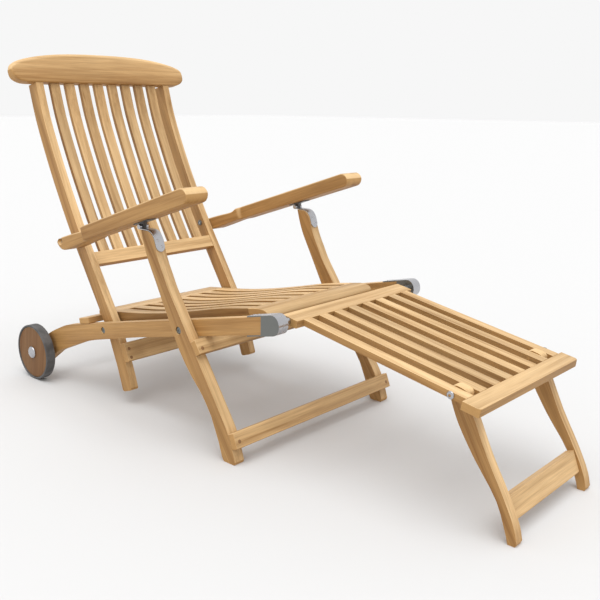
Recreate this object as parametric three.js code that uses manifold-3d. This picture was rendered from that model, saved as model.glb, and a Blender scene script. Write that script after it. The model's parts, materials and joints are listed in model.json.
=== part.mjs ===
// Steamer deck chair: a wheeled slatted lounger whose back, arms and front legs fold as one linkage.
// Millimetres, +Z up, +X toward the sitter's feet, the middle plane at Y = 0.

import * as THREE from 'three';
import { mergeVertices } from 'three/addons/utils/BufferGeometryUtils.js';
import Module from 'manifold-3d';

// Clearances between pieces
const REST_GAP = 0.3;
const WASHER_GAP = 2.5;
const LEG_GAP = 1.5;
const PIN_CLEARANCE = 0.3;

// Widths across the chair
const STILE_INNER = 212.5;
const STILE_THICKNESS = 23;
const RAIL_THICKNESS = 24;
const LEG_THICKNESS = 29;
const ARM_WIDTH = 65;
const ARM_INNER_STEP = 10;
const ARM_NECK_THICKNESS = 53;

// Side rails: a straight run that rises to the foot end, and a deeper tail that bends down to the axle
const RAIL_SLOPE_DEG = 12.43;
const RAIL_TOP_AT_MIDDLE = 308.9;
const RAIL_DEPTH = 40;
const RAIL_FRONT = 253;
const RAIL_NOSE_ROUND = 18;
const RAIL_STRAIGHT_REAR = -545;
const RAIL_TAIL_TOP = [[-580, 179], [-620, 162], [-662, 142], [-697, 119]];
const RAIL_TAIL_BOTTOM = [
  [-684, 52], [-652, 74], [-622, 94], [-582, 111], [-520, 137], [-464, 158], [-362, 185],
];
const RAIL_STRAIGHT_BOTTOM_REAR = -230;

// Pivots of the folding linkage
const BACK_PIVOT_X = -394;
const LEG_PIVOT_X = -41.4;
const ARM_PIVOT_OFFSET = [-142, 229];
const PIVOT_ROD_RADIUS = 5;
const ROD_HEAD_RADIUS = 8;
const ROD_HEAD_SINK = 4;
const ROD_RECESS_DEPTH = 7;
const RECESS_CLEARANCE = 1.5;
const BOLT_RADIUS = 4;
const BOLT_HEAD_RADIUS = 8;
const BOLT_HEAD_RISE = 3.5;

// Wheels
const AXLE_X = -702;
const TYRE_RADIUS = 81;
const DISC_RADIUS = 75;
const WHEEL_WIDTH = 25;
const TYRE_LIP = 3;
const TYRE_CHAMFER = 2;
const WHEEL_GAP = 14;
const AXLE_RADIUS = 7;
const AXLE_CLEARANCE = 0.4;
const HUB_CAP_RADIUS = 17.5;
const HUB_CAP_RISE = 9;
const HUB_CAP_RIM = 3;

// Back frame: centre line of the stile from its head to the foot of its leg, measured from the back pivot
const STILE_LINE = [
  [-337, 657], [-306, 554], [-257, 441], [-210, 347], [-156, 249], [-89, 141], [-24, 39], [0, 0], [20, -46],
  [44, -103], [64, -162],
];
const STILE_DEPTH = 40;
const STILE_FOOT_ROUND = 7;
const HEAD_SPACE = 120;
const HEAD_BASE = [-324, 648];
const HEAD_TILT_DEG = 14;
const HEAD_THICKNESS = 32;
const HEAD_FORWARD = -3;
const HEAD_OUTLINE = [
  [-303, 34], [-298, 17], [-283, 5], [-257, 0], [257, 0], [283, 5], [298, 17], [303, 34], [296, 50],
  [274, 61], [239, 70], [184, 79], [109, 85], [0, 87], [-109, 85], [-184, 79], [-239, 70], [-274, 61],
  [-296, 50],
];
const LOWER_RAIL_TOP = 195;
const LOWER_RAIL_HEIGHT = 38;
const LOWER_RAIL_THICKNESS = 22;
const BACK_SLATS = 8;
const BACK_SLAT_PITCH = 49;
const BACK_SLAT_WIDTH = 30.5;
const BACK_SLAT_THICKNESS = 12;
const BACK_SLAT_FORWARD = 7;
const LEG_SLAT_TOP = -36;
const LEG_SLAT_BOTTOM = -84;
const LEG_SLAT_THICKNESS = 20;

// Rear cross slat that lies on the rails
const CROSS_SLAT_REAR = -508;
const CROSS_SLAT_WIDTH = 47;
const CROSS_SLAT_THICKNESS = 17;

// Arms, measured from the arm pivot
const ARM_TOP = [[-15, -1], [-9, 6], [2, 10], [63, 28], [113, 42], [122, 47.5], [131, 54], [150, 61.5]];
const ARM_BOTTOM = [[136, 19], [44, -15], [20, -22], [6, -22], [-6, -16], [-13, -8]];
const ARM_SLOPE_DEG = 17.97;
const ARM_NOSE_CENTRE = [537.5, 167.74];
const ARM_NOSE_RADIUS = 18.5;
const ARM_REAR_END = -30;
const ARM_NECK_END = 132;
const ARM_SHOULDER_END = 146;
const ARM_CORNER_ROUND = 4;
const COUNTERBORE_RADIUS = 11;
const COUNTERBORE_DEPTH = 14;
const NUT_RADIUS = 7;
const NUT_HEIGHT = 6;

// Front legs, measured from the leg pivot
const LEG_REAR_EDGE = [
  [-130, 223], [-121, 191], [-111, 164], [-98, 138], [-83, 111], [-55, 59], [-34, 20], [2, -46],
  [38, -93], [84, -141], [112, -181],
];
const LEG_REAR_FOOT = [[137, -237], [148, -270]];
const LEG_FOOT_REAR = 154;
const LEG_FOOT_FRONT = 188;
const LEG_FRONT_EDGE = [
  [191, -272], [181, -242], [165, -203], [139, -163], [66, -55], [0, 44], [-34, 94], [-48, 121],
  [-63, 149], [-74, 175], [-80, 194],
];
const LEG_FRONT_TOP = [[-85, 207], [-93, 217], [-103, 222], [-112, 223]];

// Cross bars on the front faces of the front legs, with their top edges measured from the leg pivot
const UPPER_BAR_TOP = -20;
const UPPER_BAR_HEIGHT = 30;
const LOWER_BAR_TOP = -209;
const LOWER_BAR_HEIGHT = 35;
const CROSS_BAR_THICKNESS = 18;

// Hinges between the front legs and the arms
const HINGE_PLATE_THICKNESS = 2.4;
const HINGE_PLATE_WIDTH = 26;
const HINGE_PLATE_LOW = 189;
const HINGE_EYE_RADIUS = 6;
const HINGE_PIN_RADIUS = 3;
const HINGE_LUG_WIDTH = 12;
const HINGE_LEAF_REAR = 20;
const HINGE_LEAF_FRONT = 34;

// Seat: height of its top over the line of the rail tops, by distance along the chair
const SEAT_TOP = [
  [-487, 30], [-414, 23], [-300, 13.5], [-200, 10.5], [-100, 11.5], [0, 14], [60, 12], [120, 9],
];
const SEAT_NOSE = [[138, 5], [150, -2], [156, -11], [156, -20], [151, -26]];
const SEAT_SIDE_GAP = 3.5;
const SEAT_TAPER = 18;
const SEAT_SIDE_WIDTH = 27.5;
const SEAT_THICKNESS = 16;
const SEAT_REAR_BOARD = 72;
const SEAT_FRONT_BOARD_REAR = 90;
const SEAT_SLATS = 6;
const SEAT_SLAT_WIDTH = 31;

// Brackets at the foot ends of the rails
const BRACKET_PLATE = 2.5;
const BRACKET_SIDE_REAR = 205;
const BRACKET_TAIL_REAR = 160;

// Leg rest: top line from the head board, down toward the foot board
const REST_TOP_REAR = [220, 354];
const REST_DROP_DEG = 10.45;
const REST_PIVOT_ALONG = 19;
const REST_PIN_RADIUS = 5;
const REST_PIN_DEPTH = 22;
const REST_COLLAR_RADIUS = 8;
const REST_COLLAR_GAP = 1;
const REST_SIDE_GAP = 23;
const REST_FOOT_STEP = 6.5;
const REST_LENGTH = 490;
const REST_HEAD_WIDTH = 43;
const REST_FOOT_WIDTH = 39;
const REST_THICKNESS = 18;
const REST_FOOT_ROUND = 8;
const REST_SLATS = 8;
const REST_SLAT_WIDTH = 26.5;
const REST_SLATS_INSET = 21;
const REST_SLAT_THICKNESS = 14;

// Prop leg that folds under the leg rest
const PROP_PIVOT_INSET = 71;
const PROP_REAR_EDGE = [[-19, -7], [-13, -25], [3, -62], [41, -122], [94, -194], [118, -256]];
const PROP_FOOT_REAR = 122;
const PROP_FOOT_FRONT = 137;
const PROP_FRONT_EDGE = [[140, -264], [133, -236], [108, -183], [68, -112], [39, -51], [26, -24], [21.5, -8]];
const PROP_HEAD = [[20.5, 0], [17, 4.5], [10, 7.5], [-4, 10.5], [-12, 9], [-17.5, 3]];
const PROP_CLEARANCE = 1;
const PROP_BOARD_FACE = [[107, -186], [124, -232]];
const PROP_BOARD_HEIGHT = 48;
const PROP_BOARD_THICKNESS = 18;
const PROP_BOLT_RADIUS = 4;
const PROP_BOLT_HEAD_RADIUS = 7.5;
const PROP_BOLT_HEAD_RISE = 3.5;
const DOME_SHARE = 0.75;

// Smoothness of the curved outlines
const ROUND_SEGMENTS = 32;
const CURVE_STEPS = 3;
const STEP_POINTS = 8;
const NOSE_STEPS = 2;
const CORNER_STEPS = 4;
const END_STEPS = 8;
const QUARTER_TURN = 90;
const HALF_TURN = 180;
const FULL_TURN = 360;

const WOOD_SIDE = '#b9915a';
const WOOD_FRONT = '#cda570';
const WOOD_PALE = '#e0c090';
const WOOD_WHEEL = '#966e3c';
const STEEL = '#b8babc';
const STEEL_DARK = '#7c7e78';
const RUBBER = '#69696b';

const wasm = await Module();
wasm.setup();

// Places derived from the sizes
const slope = Math.tan(THREE.MathUtils.degToRad(RAIL_SLOPE_DEG));
const stileOuter = STILE_INNER + STILE_THICKNESS;
const railInner = stileOuter + WASHER_GAP;
const railOuter = railInner + RAIL_THICKNESS;
const legInner = railOuter + LEG_GAP;
const legOuter = legInner + LEG_THICKNESS;
const armInner = railInner + ARM_INNER_STEP;
const armOuter = armInner + ARM_WIDTH;
const neckOuter = railInner + ARM_NECK_THICKNESS;
const seatRearHalf = STILE_INNER - SEAT_SIDE_GAP;
const seatFrontHalf = seatRearHalf - SEAT_TAPER;
const seatWellHalf = seatFrontHalf - SEAT_SIDE_WIDTH;
const restHeadHalf = railInner - REST_SIDE_GAP;
const restFootHalf = restHeadHalf - REST_FOOT_STEP;
const restSlatsHalf = restHeadHalf - REST_SLATS_INSET;
const railTop = (x) => RAIL_TOP_AT_MIDDLE + slope * x;
const railDrop = RAIL_DEPTH / Math.cos(Math.atan(slope));
const railMiddle = (x) => railTop(x) - railDrop / 2;
const backPivot = [BACK_PIVOT_X, railMiddle(BACK_PIVOT_X)];
const legPivot = [LEG_PIVOT_X, railMiddle(LEG_PIVOT_X)];
const from = (pivot, points) => points.map(([x, z]) => [pivot[0] + x, pivot[1] + z]);
const armPivot = from(backPivot, [ARM_PIVOT_OFFSET])[0];
const hingePivot = from(legPivot, [ARM_PIVOT_OFFSET])[0];
const axle = [AXLE_X, TYRE_RADIUS];

const chair = new THREE.Group();
chair.name = 'steamer_deck_chair';

function material(colour, roughness, metalness) {
  return new THREE.MeshStandardMaterial({ color: colour, roughness, metalness });
}

function wood(colour) {
  return material(colour, 0.6, 0);
}

function steel(colour) {
  return material(colour, 0.35, 1);
}

function addPiece(name, geometry, look) {
  const mesh = new THREE.Mesh(geometry, look);
  mesh.name = name;
  chair.add(mesh);
}

// Outline carried straight through a depth, with round holes
function extruded(outline, depth, holes = []) {
  const points = outline.map(([x, y]) => new THREE.Vector2(x, y));
  const shape = new THREE.Shape(THREE.ShapeUtils.isClockWise(points) ? points.reverse() : points);
  for (const hole of holes) {
    const path = new THREE.Path();
    path.absarc(hole.at[0], hole.at[1], hole.radius, 0, 2 * Math.PI, true);
    shape.holes.push(path);
  }
  return new THREE.ExtrudeGeometry(shape, { depth, bevelEnabled: false, curveSegments: ROUND_SEGMENTS / 2 });
}

// Piece with its outline in the side view, from one Y to another
function plate(outline, fromY, toY, holes = []) {
  const geometry = extruded(outline, toY - fromY, holes);
  geometry.rotateX(Math.PI / 2);
  geometry.translate(0, toY, 0);
  return geometry;
}

// Piece with its outline in the view from above, from one Z to another
function planPlate(outline, fromZ, toZ) {
  const geometry = extruded(outline, toZ - fromZ);
  geometry.translate(0, 0, fromZ);
  return geometry;
}

// Piece with its outline in the view from the foot end, from one X to another
function facePlate(outline, fromX, toX) {
  const geometry = extruded(outline, toX - fromX);
  geometry.applyMatrix4(new THREE.Matrix4().set(0, 0, 1, fromX, 1, 0, 0, 0, 0, 1, 0, 0, 0, 0, 0, 1));
  return geometry;
}

// Range across the chair on one hand: the near side at negative Y is the right hand
function span(side, inner, outer) {
  return side < 0 ? [-outer, -inner] : [inner, outer];
}

function rod(at, radius, fromY, toY) {
  const geometry = new THREE.CylinderGeometry(radius, radius, toY - fromY, ROUND_SEGMENTS);
  geometry.translate(at[0], (fromY + toY) / 2, at[1]);
  return geometry;
}

function turned(at, profile) {
  const geometry = new THREE.LatheGeometry(profile.map(([r, y]) => new THREE.Vector2(r, y)), ROUND_SEGMENTS);
  geometry.translate(at[0], 0, at[1]);
  return geometry;
}

function solid(geometry) {
  const plain = geometry.clone();
  plain.deleteAttribute('normal');
  plain.deleteAttribute('uv');
  const welded = mergeVertices(plain);
  const vertProperties = new Float32Array(welded.attributes.position.array);
  const triVerts = new Uint32Array(welded.index.array);
  return new wasm.Manifold(new wasm.Mesh({ numProp: 3, vertProperties, triVerts }));
}

function shell(body) {
  const mesh = body.getMesh();
  const geometry = new THREE.BufferGeometry();
  geometry.setAttribute('position', new THREE.BufferAttribute(mesh.vertProperties, 3));
  geometry.setIndex(new THREE.BufferAttribute(mesh.triVerts, 1));
  geometry.computeVertexNormals();
  return geometry;
}

function joined(geometries) {
  return shell(geometries.map(solid).reduce((whole, part) => whole.add(part)));
}

function cut(geometry, tools) {
  return shell(tools.map(solid).reduce((whole, tool) => whole.subtract(tool), solid(geometry)));
}

function common(first, second) {
  return shell(solid(first).intersect(solid(second)));
}

// Smooth curve through points of the side view
function curve(points, steps = CURVE_STEPS) {
  const line = new THREE.CatmullRomCurve3(points.map(([x, z]) => new THREE.Vector3(x, 0, z)));
  return line.getPoints(steps * (points.length - 1)).map((p) => [p.x, p.z]);
}

// Unit direction of a line of points at each of its points
function directions(line) {
  return line.map((point, i) => {
    const before = line[Math.max(i - 1, 0)];
    const after = line[Math.min(i + 1, line.length - 1)];
    const length = Math.hypot(after[0] - before[0], after[1] - before[1]);
    return [(after[0] - before[0]) / length, (after[1] - before[1]) / length];
  });
}

// Line moved sideways; a positive distance goes to the left of its direction
function offset(line, distance) {
  const along = directions(line);
  return line.map(([x, z], i) => [x - along[i][1] * distance, z + along[i][0] * distance]);
}

// Point on a line of points at a given height or distance, by one of its two coordinates
function pointAt(line, axis, value) {
  const i = line.findIndex((point, k) => {
    const next = line[k + 1];
    return next && (point[axis] - value) * (next[axis] - value) <= 0;
  });
  const [a, b] = [line[i], line[i + 1]];
  const share = (value - a[axis]) / (b[axis] - a[axis]);
  return [a[0] + share * (b[0] - a[0]), a[1] + share * (b[1] - a[1])];
}

// Part of a line between two values of one coordinate, in the line's own order
function between(line, axis, low, high) {
  const inside = line.filter((point) => point[axis] > low && point[axis] < high);
  const ends = [pointAt(line, axis, low), pointAt(line, axis, high)];
  const rising = line[line.length - 1][axis] > line[0][axis];
  const [first, last] = rising ? ends : ends.reverse();
  return [first, ...inside, last];
}

// Rectangle in the side view: from a corner, a length along a direction, and a depth to its right
function bar(corner, direction, length, depth) {
  const size = Math.hypot(direction[0], direction[1]);
  const [ux, uz] = [direction[0] / size, direction[1] / size];
  const [ex, ez] = [corner[0] + ux * length, corner[1] + uz * length];
  return [
    corner, [ex, ez],
    [ex + uz * depth, ez - ux * depth], [corner[0] + uz * depth, corner[1] - ux * depth],
  ];
}

// Closed outline grown outward by a distance, corners kept sharp
function grown(outline, distance) {
  const count = outline.length;
  const turn = THREE.ShapeUtils.isClockWise(outline.map(([x, z]) => new THREE.Vector2(x, z))) ? -1 : 1;
  const normal = (a, b) => {
    const length = Math.hypot(b[0] - a[0], b[1] - a[1]);
    return [(turn * (b[1] - a[1])) / length, (-turn * (b[0] - a[0])) / length];
  };
  return outline.map((point, i) => {
    const before = normal(outline[(i + count - 1) % count], point);
    const after = normal(point, outline[(i + 1) % count]);
    const reach = distance / (1 + before[0] * after[0] + before[1] * after[1]);
    return [point[0] + (before[0] + after[0]) * reach, point[1] + (before[1] + after[1]) * reach];
  });
}

// Soft step from one point to another
function softStep(start, end) {
  const points = [];
  for (let i = 0; i <= STEP_POINTS; i += 1) {
    const share = i / STEP_POINTS;
    const ease = share * share * (3 - 2 * share);
    points.push([start[0] + share * (end[0] - start[0]), start[1] + ease * (end[1] - start[1])]);
  }
  return points;
}

// Turned profile for one hand
function mirrored(profile, side) {
  return side > 0 ? profile : profile.map(([r, y]) => [r, -y]).reverse();
}

// Arc of points around a centre of the side view, in degrees
function arc(centre, radius, fromAngle, toAngle, steps = CORNER_STEPS) {
  const points = [];
  for (let i = 0; i <= steps; i += 1) {
    const angle = THREE.MathUtils.degToRad(fromAngle + ((toAngle - fromAngle) * i) / steps);
    points.push([centre[0] + radius * Math.cos(angle), centre[1] + radius * Math.sin(angle)]);
  }
  return points;
}

// Corner at a vertex between two neighbours, rounded with a radius
function roundCorner(before, corner, after, radius) {
  const unit = (to) => {
    const length = Math.hypot(to[0] - corner[0], to[1] - corner[1]);
    return [(to[0] - corner[0]) / length, (to[1] - corner[1]) / length];
  };
  const [a, b] = [unit(before), unit(after)];
  const half = Math.acos(a[0] * b[0] + a[1] * b[1]) / 2;
  const middle = Math.hypot(a[0] + b[0], a[1] + b[1]);
  const reach = radius / Math.sin(half);
  const share = reach / middle;
  const centre = [corner[0] + (a[0] + b[0]) * share, corner[1] + (a[1] + b[1]) * share];
  const tangent = radius / Math.tan(half);
  const angleOf = (way) => {
    const [x, z] = [corner[0] + way[0] * tangent - centre[0], corner[1] + way[1] * tangent - centre[1]];
    return THREE.MathUtils.radToDeg(Math.atan2(z, x));
  };
  const start = angleOf(a);
  const turn = ((angleOf(b) - start + FULL_TURN + HALF_TURN) % FULL_TURN) - HALF_TURN;
  return arc(centre, radius, start, start + turn);
}

const hands = [{ side: -1, hand: 'right' }, { side: 1, hand: 'left' }];

// Side rails
const railFrontTop = [RAIL_FRONT, railTop(RAIL_FRONT)];
const railFrontBottom = [RAIL_FRONT, railTop(RAIL_FRONT) - railDrop];
const straightTop = [RAIL_STRAIGHT_REAR, railTop(RAIL_STRAIGHT_REAR)];
const straightBottom = [RAIL_STRAIGHT_BOTTOM_REAR, railTop(RAIL_STRAIGHT_BOTTOM_REAR) - railDrop];
const tailTopEnd = RAIL_TAIL_TOP[RAIL_TAIL_TOP.length - 1];
const angleAtAxle = ([x, z]) => THREE.MathUtils.radToDeg(Math.atan2(z - axle[1], x - axle[0]));
const tailRadius = Math.hypot(tailTopEnd[0] - axle[0], tailTopEnd[1] - axle[1]);
const tailTurn = angleAtAxle(RAIL_TAIL_BOTTOM[0]) + FULL_TURN;
const railEnd = arc(axle, tailRadius, angleAtAxle(tailTopEnd), tailTurn, END_STEPS);
const railOutline = [
  ...curve([straightTop, ...RAIL_TAIL_TOP]),
  ...railEnd.slice(1, -1),
  ...curve([...RAIL_TAIL_BOTTOM, straightBottom]),
  ...roundCorner(straightBottom, railFrontBottom, railFrontTop, RAIL_NOSE_ROUND),
  ...roundCorner(railFrontBottom, railFrontTop, straightTop, RAIL_NOSE_ROUND),
];
const railHoles = [
  { at: backPivot, radius: PIVOT_ROD_RADIUS + REST_GAP },
  { at: legPivot, radius: PIVOT_ROD_RADIUS + REST_GAP },
  { at: axle, radius: AXLE_RADIUS + REST_GAP },
];
const recessRadius = ROD_HEAD_RADIUS + RECESS_CLEARANCE;
for (const { side, hand } of hands) {
  const rail = plate(railOutline, ...span(side, railInner, railOuter), railHoles);
  const recessSpan = span(side, railOuter - ROD_RECESS_DEPTH, railOuter + LEG_GAP);
  const recess = rod(backPivot, recessRadius, ...recessSpan);
  addPiece(`side_rail_${hand}`, cut(rail, [recess]), wood(WOOD_SIDE));
}

// Rods through the whole chair for the back and the front legs, each with a flat round head sunk at both ends
function headedRod(at, radius, half, headRadius, headRise) {
  return turned(at, [
    [0, -half], [headRadius, -half], [headRadius, headRise - half], [radius, headRise - half],
    [radius, half - headRise], [headRadius, half - headRise], [headRadius, half], [0, half],
  ]);
}
const backRodHalf = railOuter - ROD_RECESS_DEPTH + ROD_HEAD_SINK;
const legRodHalf = legOuter - ROD_RECESS_DEPTH + ROD_HEAD_SINK;
const rodHead = ROD_HEAD_SINK - REST_GAP;
addPiece('back_pivot_rod', headedRod(backPivot, PIVOT_ROD_RADIUS, backRodHalf, ROD_HEAD_RADIUS, rodHead),
  steel(STEEL));
addPiece('front_leg_pivot_rod', headedRod(legPivot, PIVOT_ROD_RADIUS, legRodHalf, ROD_HEAD_RADIUS, rodHead),
  steel(STEEL));

// Axle with a domed cap at each end, and the wheels
const wheelInner = railOuter + WHEEL_GAP;
const wheelOuter = wheelInner + WHEEL_WIDTH;
const capInner = wheelOuter + REST_GAP;
const capOuter = capInner + HUB_CAP_RISE;
const capShoulder = [HUB_CAP_RADIUS * Math.cos(Math.PI / 4), capInner + HUB_CAP_RIM + HUB_CAP_RISE / 3];
addPiece('wheel_axle', turned(axle, [
  [0, -capOuter], [capShoulder[0], -capShoulder[1]], [HUB_CAP_RADIUS, -capInner - HUB_CAP_RIM],
  [HUB_CAP_RADIUS, -capInner], [AXLE_RADIUS, -capInner], [AXLE_RADIUS, capInner],
  [HUB_CAP_RADIUS, capInner], [HUB_CAP_RADIUS, capInner + HUB_CAP_RIM], capShoulder, [0, capOuter],
]), steel(STEEL));
for (const { side, hand } of hands) {
  const [near, far] = span(side, wheelInner, wheelOuter);
  const bore = AXLE_RADIUS + AXLE_CLEARANCE;
  addPiece(`wheel_disc_${hand}`, turned(axle, [
    [bore, near], [DISC_RADIUS, near], [DISC_RADIUS, far], [bore, far], [bore, near],
  ]), wood(WOOD_WHEEL));
  const [low, high] = [near - TYRE_LIP / 2, far + TYRE_LIP / 2];
  const seat = DISC_RADIUS + REST_GAP;
  addPiece(`wheel_tyre_${hand}`, turned(axle, [
    [seat, low], [TYRE_RADIUS - TYRE_CHAMFER, low], [TYRE_RADIUS, low + TYRE_CHAMFER],
    [TYRE_RADIUS, high - TYRE_CHAMFER], [TYRE_RADIUS - TYRE_CHAMFER, high], [seat, high], [seat, low],
  ]), material(RUBBER, 0.8, 0));
}

// Rear cross slat, flat on the tops of both rails
const slatRise = (CROSS_SLAT_THICKNESS + REST_GAP) / Math.cos(Math.atan(slope));
const slatCorner = [CROSS_SLAT_REAR, railTop(CROSS_SLAT_REAR) + slatRise];
const crossSlat = bar(slatCorner, [1, slope], CROSS_SLAT_WIDTH, CROSS_SLAT_THICKNESS);
addPiece('rear_cross_slat', plate(crossSlat, -railOuter, railOuter), wood(WOOD_PALE));

// Seat: one curved top line, and the boards and slats that follow it
const seatTopLine = curve(SEAT_TOP.map(([x, rise]) => [x, railTop(x) + rise]));
const seatNose = curve([
  seatTopLine[seatTopLine.length - 1],
  ...SEAT_NOSE.map(([x, rise]) => [x, railTop(x) + rise]),
], NOSE_STEPS);
const seatRear = SEAT_TOP[0][0];
const seatTip = Math.max(...SEAT_NOSE.map((point) => point[0]));
const seatBoardFront = seatRear + SEAT_REAR_BOARD;

// The seat narrows a little toward its front: its half width by distance along the chair
function seatHalf(x) {
  return seatRearHalf + ((seatFrontHalf - seatRearHalf) * (x - seatRear)) / (seatTip - seatRear);
}
const [planRear, planFront] = [seatRear - STEP_POINTS, seatTip + STEP_POINTS];
const seatPlan = planPlate([
  [planRear, -seatHalf(planRear)], [planFront, -seatHalf(planFront)],
  [planFront, seatHalf(planFront)], [planRear, seatHalf(planRear)],
], axle[1], armPivot[1]);

function seatStrip(low, high, thickness) {
  const top = between(seatTopLine, 0, low, high);
  return [...top, ...offset(top, -thickness).reverse()];
}

const rearStrip = plate(seatStrip(seatRear, seatBoardFront, SEAT_THICKNESS), -stileOuter, stileOuter);
const rearBoard = common(rearStrip, seatPlan);
const slatBed = plate(grown(crossSlat, REST_GAP), -railOuter, railOuter);
addPiece('seat_rear_board', cut(rearBoard, [slatBed]), wood(WOOD_PALE));
const seatTopEnd = seatTopLine[seatTopLine.length - 1][0];
const frontTop = between(seatTopLine, 0, SEAT_FRONT_BOARD_REAR, seatTopEnd);
const noseEnd = seatNose[seatNose.length - 1];
const frontBottom = offset(frontTop, -SEAT_THICKNESS);
const frontBoard = [
  ...frontTop,
  ...seatNose.slice(1),
  [noseEnd[0] - SEAT_THICKNESS / 2, noseEnd[1]],
  frontBottom[frontBottom.length - 1],
  frontBottom[0],
];
addPiece('seat_front_board', common(plate(frontBoard, -stileOuter, stileOuter), seatPlan), wood(WOOD_PALE));
const [panelRear, panelFront] = [seatBoardFront + REST_GAP, SEAT_FRONT_BOARD_REAR - REST_GAP];
const rodTop = legPivot[1] + PIVOT_ROD_RADIUS + REST_GAP;
const sideDrop = pointAt(seatTopLine, 0, LEG_PIVOT_X)[1] - rodTop;
const sideDepth = Math.max(SEAT_THICKNESS, sideDrop * Math.cos(Math.atan(slope)));
const sideStrip = seatStrip(panelRear, panelFront, sideDepth);
const rodBed = rod(legPivot, PIVOT_ROD_RADIUS + REST_GAP, -railInner, railInner);
for (const { side, hand } of hands) {
  const board = common(plate(sideStrip, ...span(side, seatWellHalf, stileOuter)), seatPlan);
  addPiece(`seat_side_board_${hand}`, cut(board, [rodBed]), wood(WOOD_SIDE));
}
const seatSlat = seatStrip(panelRear, panelFront, SEAT_THICKNESS);
const seatSlot = (2 * seatWellHalf - SEAT_SLATS * SEAT_SLAT_WIDTH) / (SEAT_SLATS + 1);
for (let i = 0; i < SEAT_SLATS; i += 1) {
  const start = -seatWellHalf + seatSlot + i * (SEAT_SLAT_WIDTH + seatSlot);
  addPiece(`seat_slat_${i + 1}`, plate(seatSlat, start, start + SEAT_SLAT_WIDTH), wood(WOOD_PALE));
}

// Stiles of the back, which run on below the pivot as the rear legs
const stileLine = curve(from(backPivot, STILE_LINE));
const stileFront = offset(stileLine, STILE_DEPTH / 2);
const stileRear = offset(stileLine, -STILE_DEPTH / 2);
const last = stileLine.length - 1;
const stileOutline = [
  ...stileFront.slice(0, -1),
  ...roundCorner(stileFront[last - 1], stileFront[last], stileRear[last], STILE_FOOT_ROUND),
  ...roundCorner(stileFront[last], stileRear[last], stileRear[last - 1], STILE_FOOT_ROUND),
  ...stileRear.slice(0, -1).reverse(),
];
const headBase = from(backPivot, [HEAD_BASE])[0];
const headTilt = THREE.MathUtils.degToRad(HEAD_TILT_DEG);
const headUp = [-Math.sin(headTilt), Math.cos(headTilt)];
const headFront = [headUp[1], -headUp[0]];
const headPlane = [headBase[0] - headUp[0] * REST_GAP, headBase[1] - headUp[1] * REST_GAP];
const spaceStart = [headPlane[0] - headFront[0] * HEAD_SPACE, headPlane[1] - headFront[1] * HEAD_SPACE];
const headSpace = plate(bar(spaceStart, headFront, 2 * HEAD_SPACE, -HEAD_SPACE), -railOuter, railOuter);
const stileHoles = [
  { at: backPivot, radius: PIVOT_ROD_RADIUS + PIN_CLEARANCE },
  { at: armPivot, radius: BOLT_RADIUS + REST_GAP },
];
for (const { side, hand } of hands) {
  const stile = plate(stileOutline, ...span(side, STILE_INNER, stileOuter), stileHoles);
  addPiece(`back_stile_${hand}`, cut(stile, [headSpace]), wood(WOOD_FRONT));
}

// Head rail, lower rail and slats of the back
const headLoop = curve([...HEAD_OUTLINE, HEAD_OUTLINE[0]], NOSE_STEPS);
const headOutline = headLoop.map(([y, z]) => [y, Math.max(z, 0)]);
const headRail = facePlate(headOutline.slice(0, -1), -HEAD_THICKNESS / 2, HEAD_THICKNESS / 2);
headRail.rotateY(-headTilt);
const headMiddle = [headBase[0] + headFront[0] * HEAD_FORWARD, headBase[1] + headFront[1] * HEAD_FORWARD];
headRail.translate(headMiddle[0], 0, headMiddle[1]);
addPiece('back_head_rail', headRail, wood(WOOD_SIDE));

const lowerTop = pointAt(stileFront, 1, backPivot[1] + LOWER_RAIL_TOP);
const lowerBottom = pointAt(stileFront, 1, backPivot[1] + LOWER_RAIL_TOP - LOWER_RAIL_HEIGHT);
const lowerWay = [lowerBottom[0] - lowerTop[0], lowerBottom[1] - lowerTop[1]];
const lowerRail = bar(lowerTop, lowerWay, LOWER_RAIL_HEIGHT, LOWER_RAIL_THICKNESS);
const frameHalf = STILE_INNER - REST_GAP;
addPiece('back_lower_rail', plate(lowerRail, -frameHalf, frameHalf), wood(WOOD_FRONT));

const slatLine = offset(stileLine, BACK_SLAT_FORWARD);
const slatLow = backPivot[1] + LOWER_RAIL_TOP - LOWER_RAIL_HEIGHT / 2;
const slatFull = between(slatLine, 1, slatLow, slatLine[0][1] - REST_GAP);
const slatStrip = [
  ...offset(slatFull, BACK_SLAT_THICKNESS / 2),
  ...offset(slatFull, -BACK_SLAT_THICKNESS / 2).reverse(),
];
const lowerSpace = plate(grown(lowerRail, REST_GAP), -frameHalf, frameHalf);
for (let i = 0; i < BACK_SLATS; i += 1) {
  const start = (i - (BACK_SLATS - 1) / 2) * BACK_SLAT_PITCH - BACK_SLAT_WIDTH / 2;
  const slat = plate(slatStrip, start, start + BACK_SLAT_WIDTH);
  addPiece(`back_slat_${i + 1}`, cut(slat, [headSpace, lowerSpace]), wood(WOOD_FRONT));
}

// Board across the front of a pair of legs: its rear follows the legs, its front is flat
function boardOnLegs(edge, top, bottom, thickness) {
  const edgeSide = edge[0][1] > edge[edge.length - 1][1] ? 1 : -1;
  const rear = offset(between(edge, 1, bottom, top), edgeSide * REST_GAP);
  const [a, b] = [rear[0], rear[rear.length - 1]];
  const way = edgeSide * (thickness / Math.hypot(b[0] - a[0], b[1] - a[1]));
  const step = [-(b[1] - a[1]) * way, (b[0] - a[0]) * way];
  return [...rear, [b[0] + step[0], b[1] + step[1]], [a[0] + step[0], a[1] + step[1]]];
}

const legSlat = boardOnLegs(stileFront, backPivot[1] + LEG_SLAT_TOP, backPivot[1] + LEG_SLAT_BOTTOM,
  LEG_SLAT_THICKNESS);
addPiece('rear_leg_slat', plate(legSlat, -stileOuter, stileOuter), wood(WOOD_FRONT));

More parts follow.
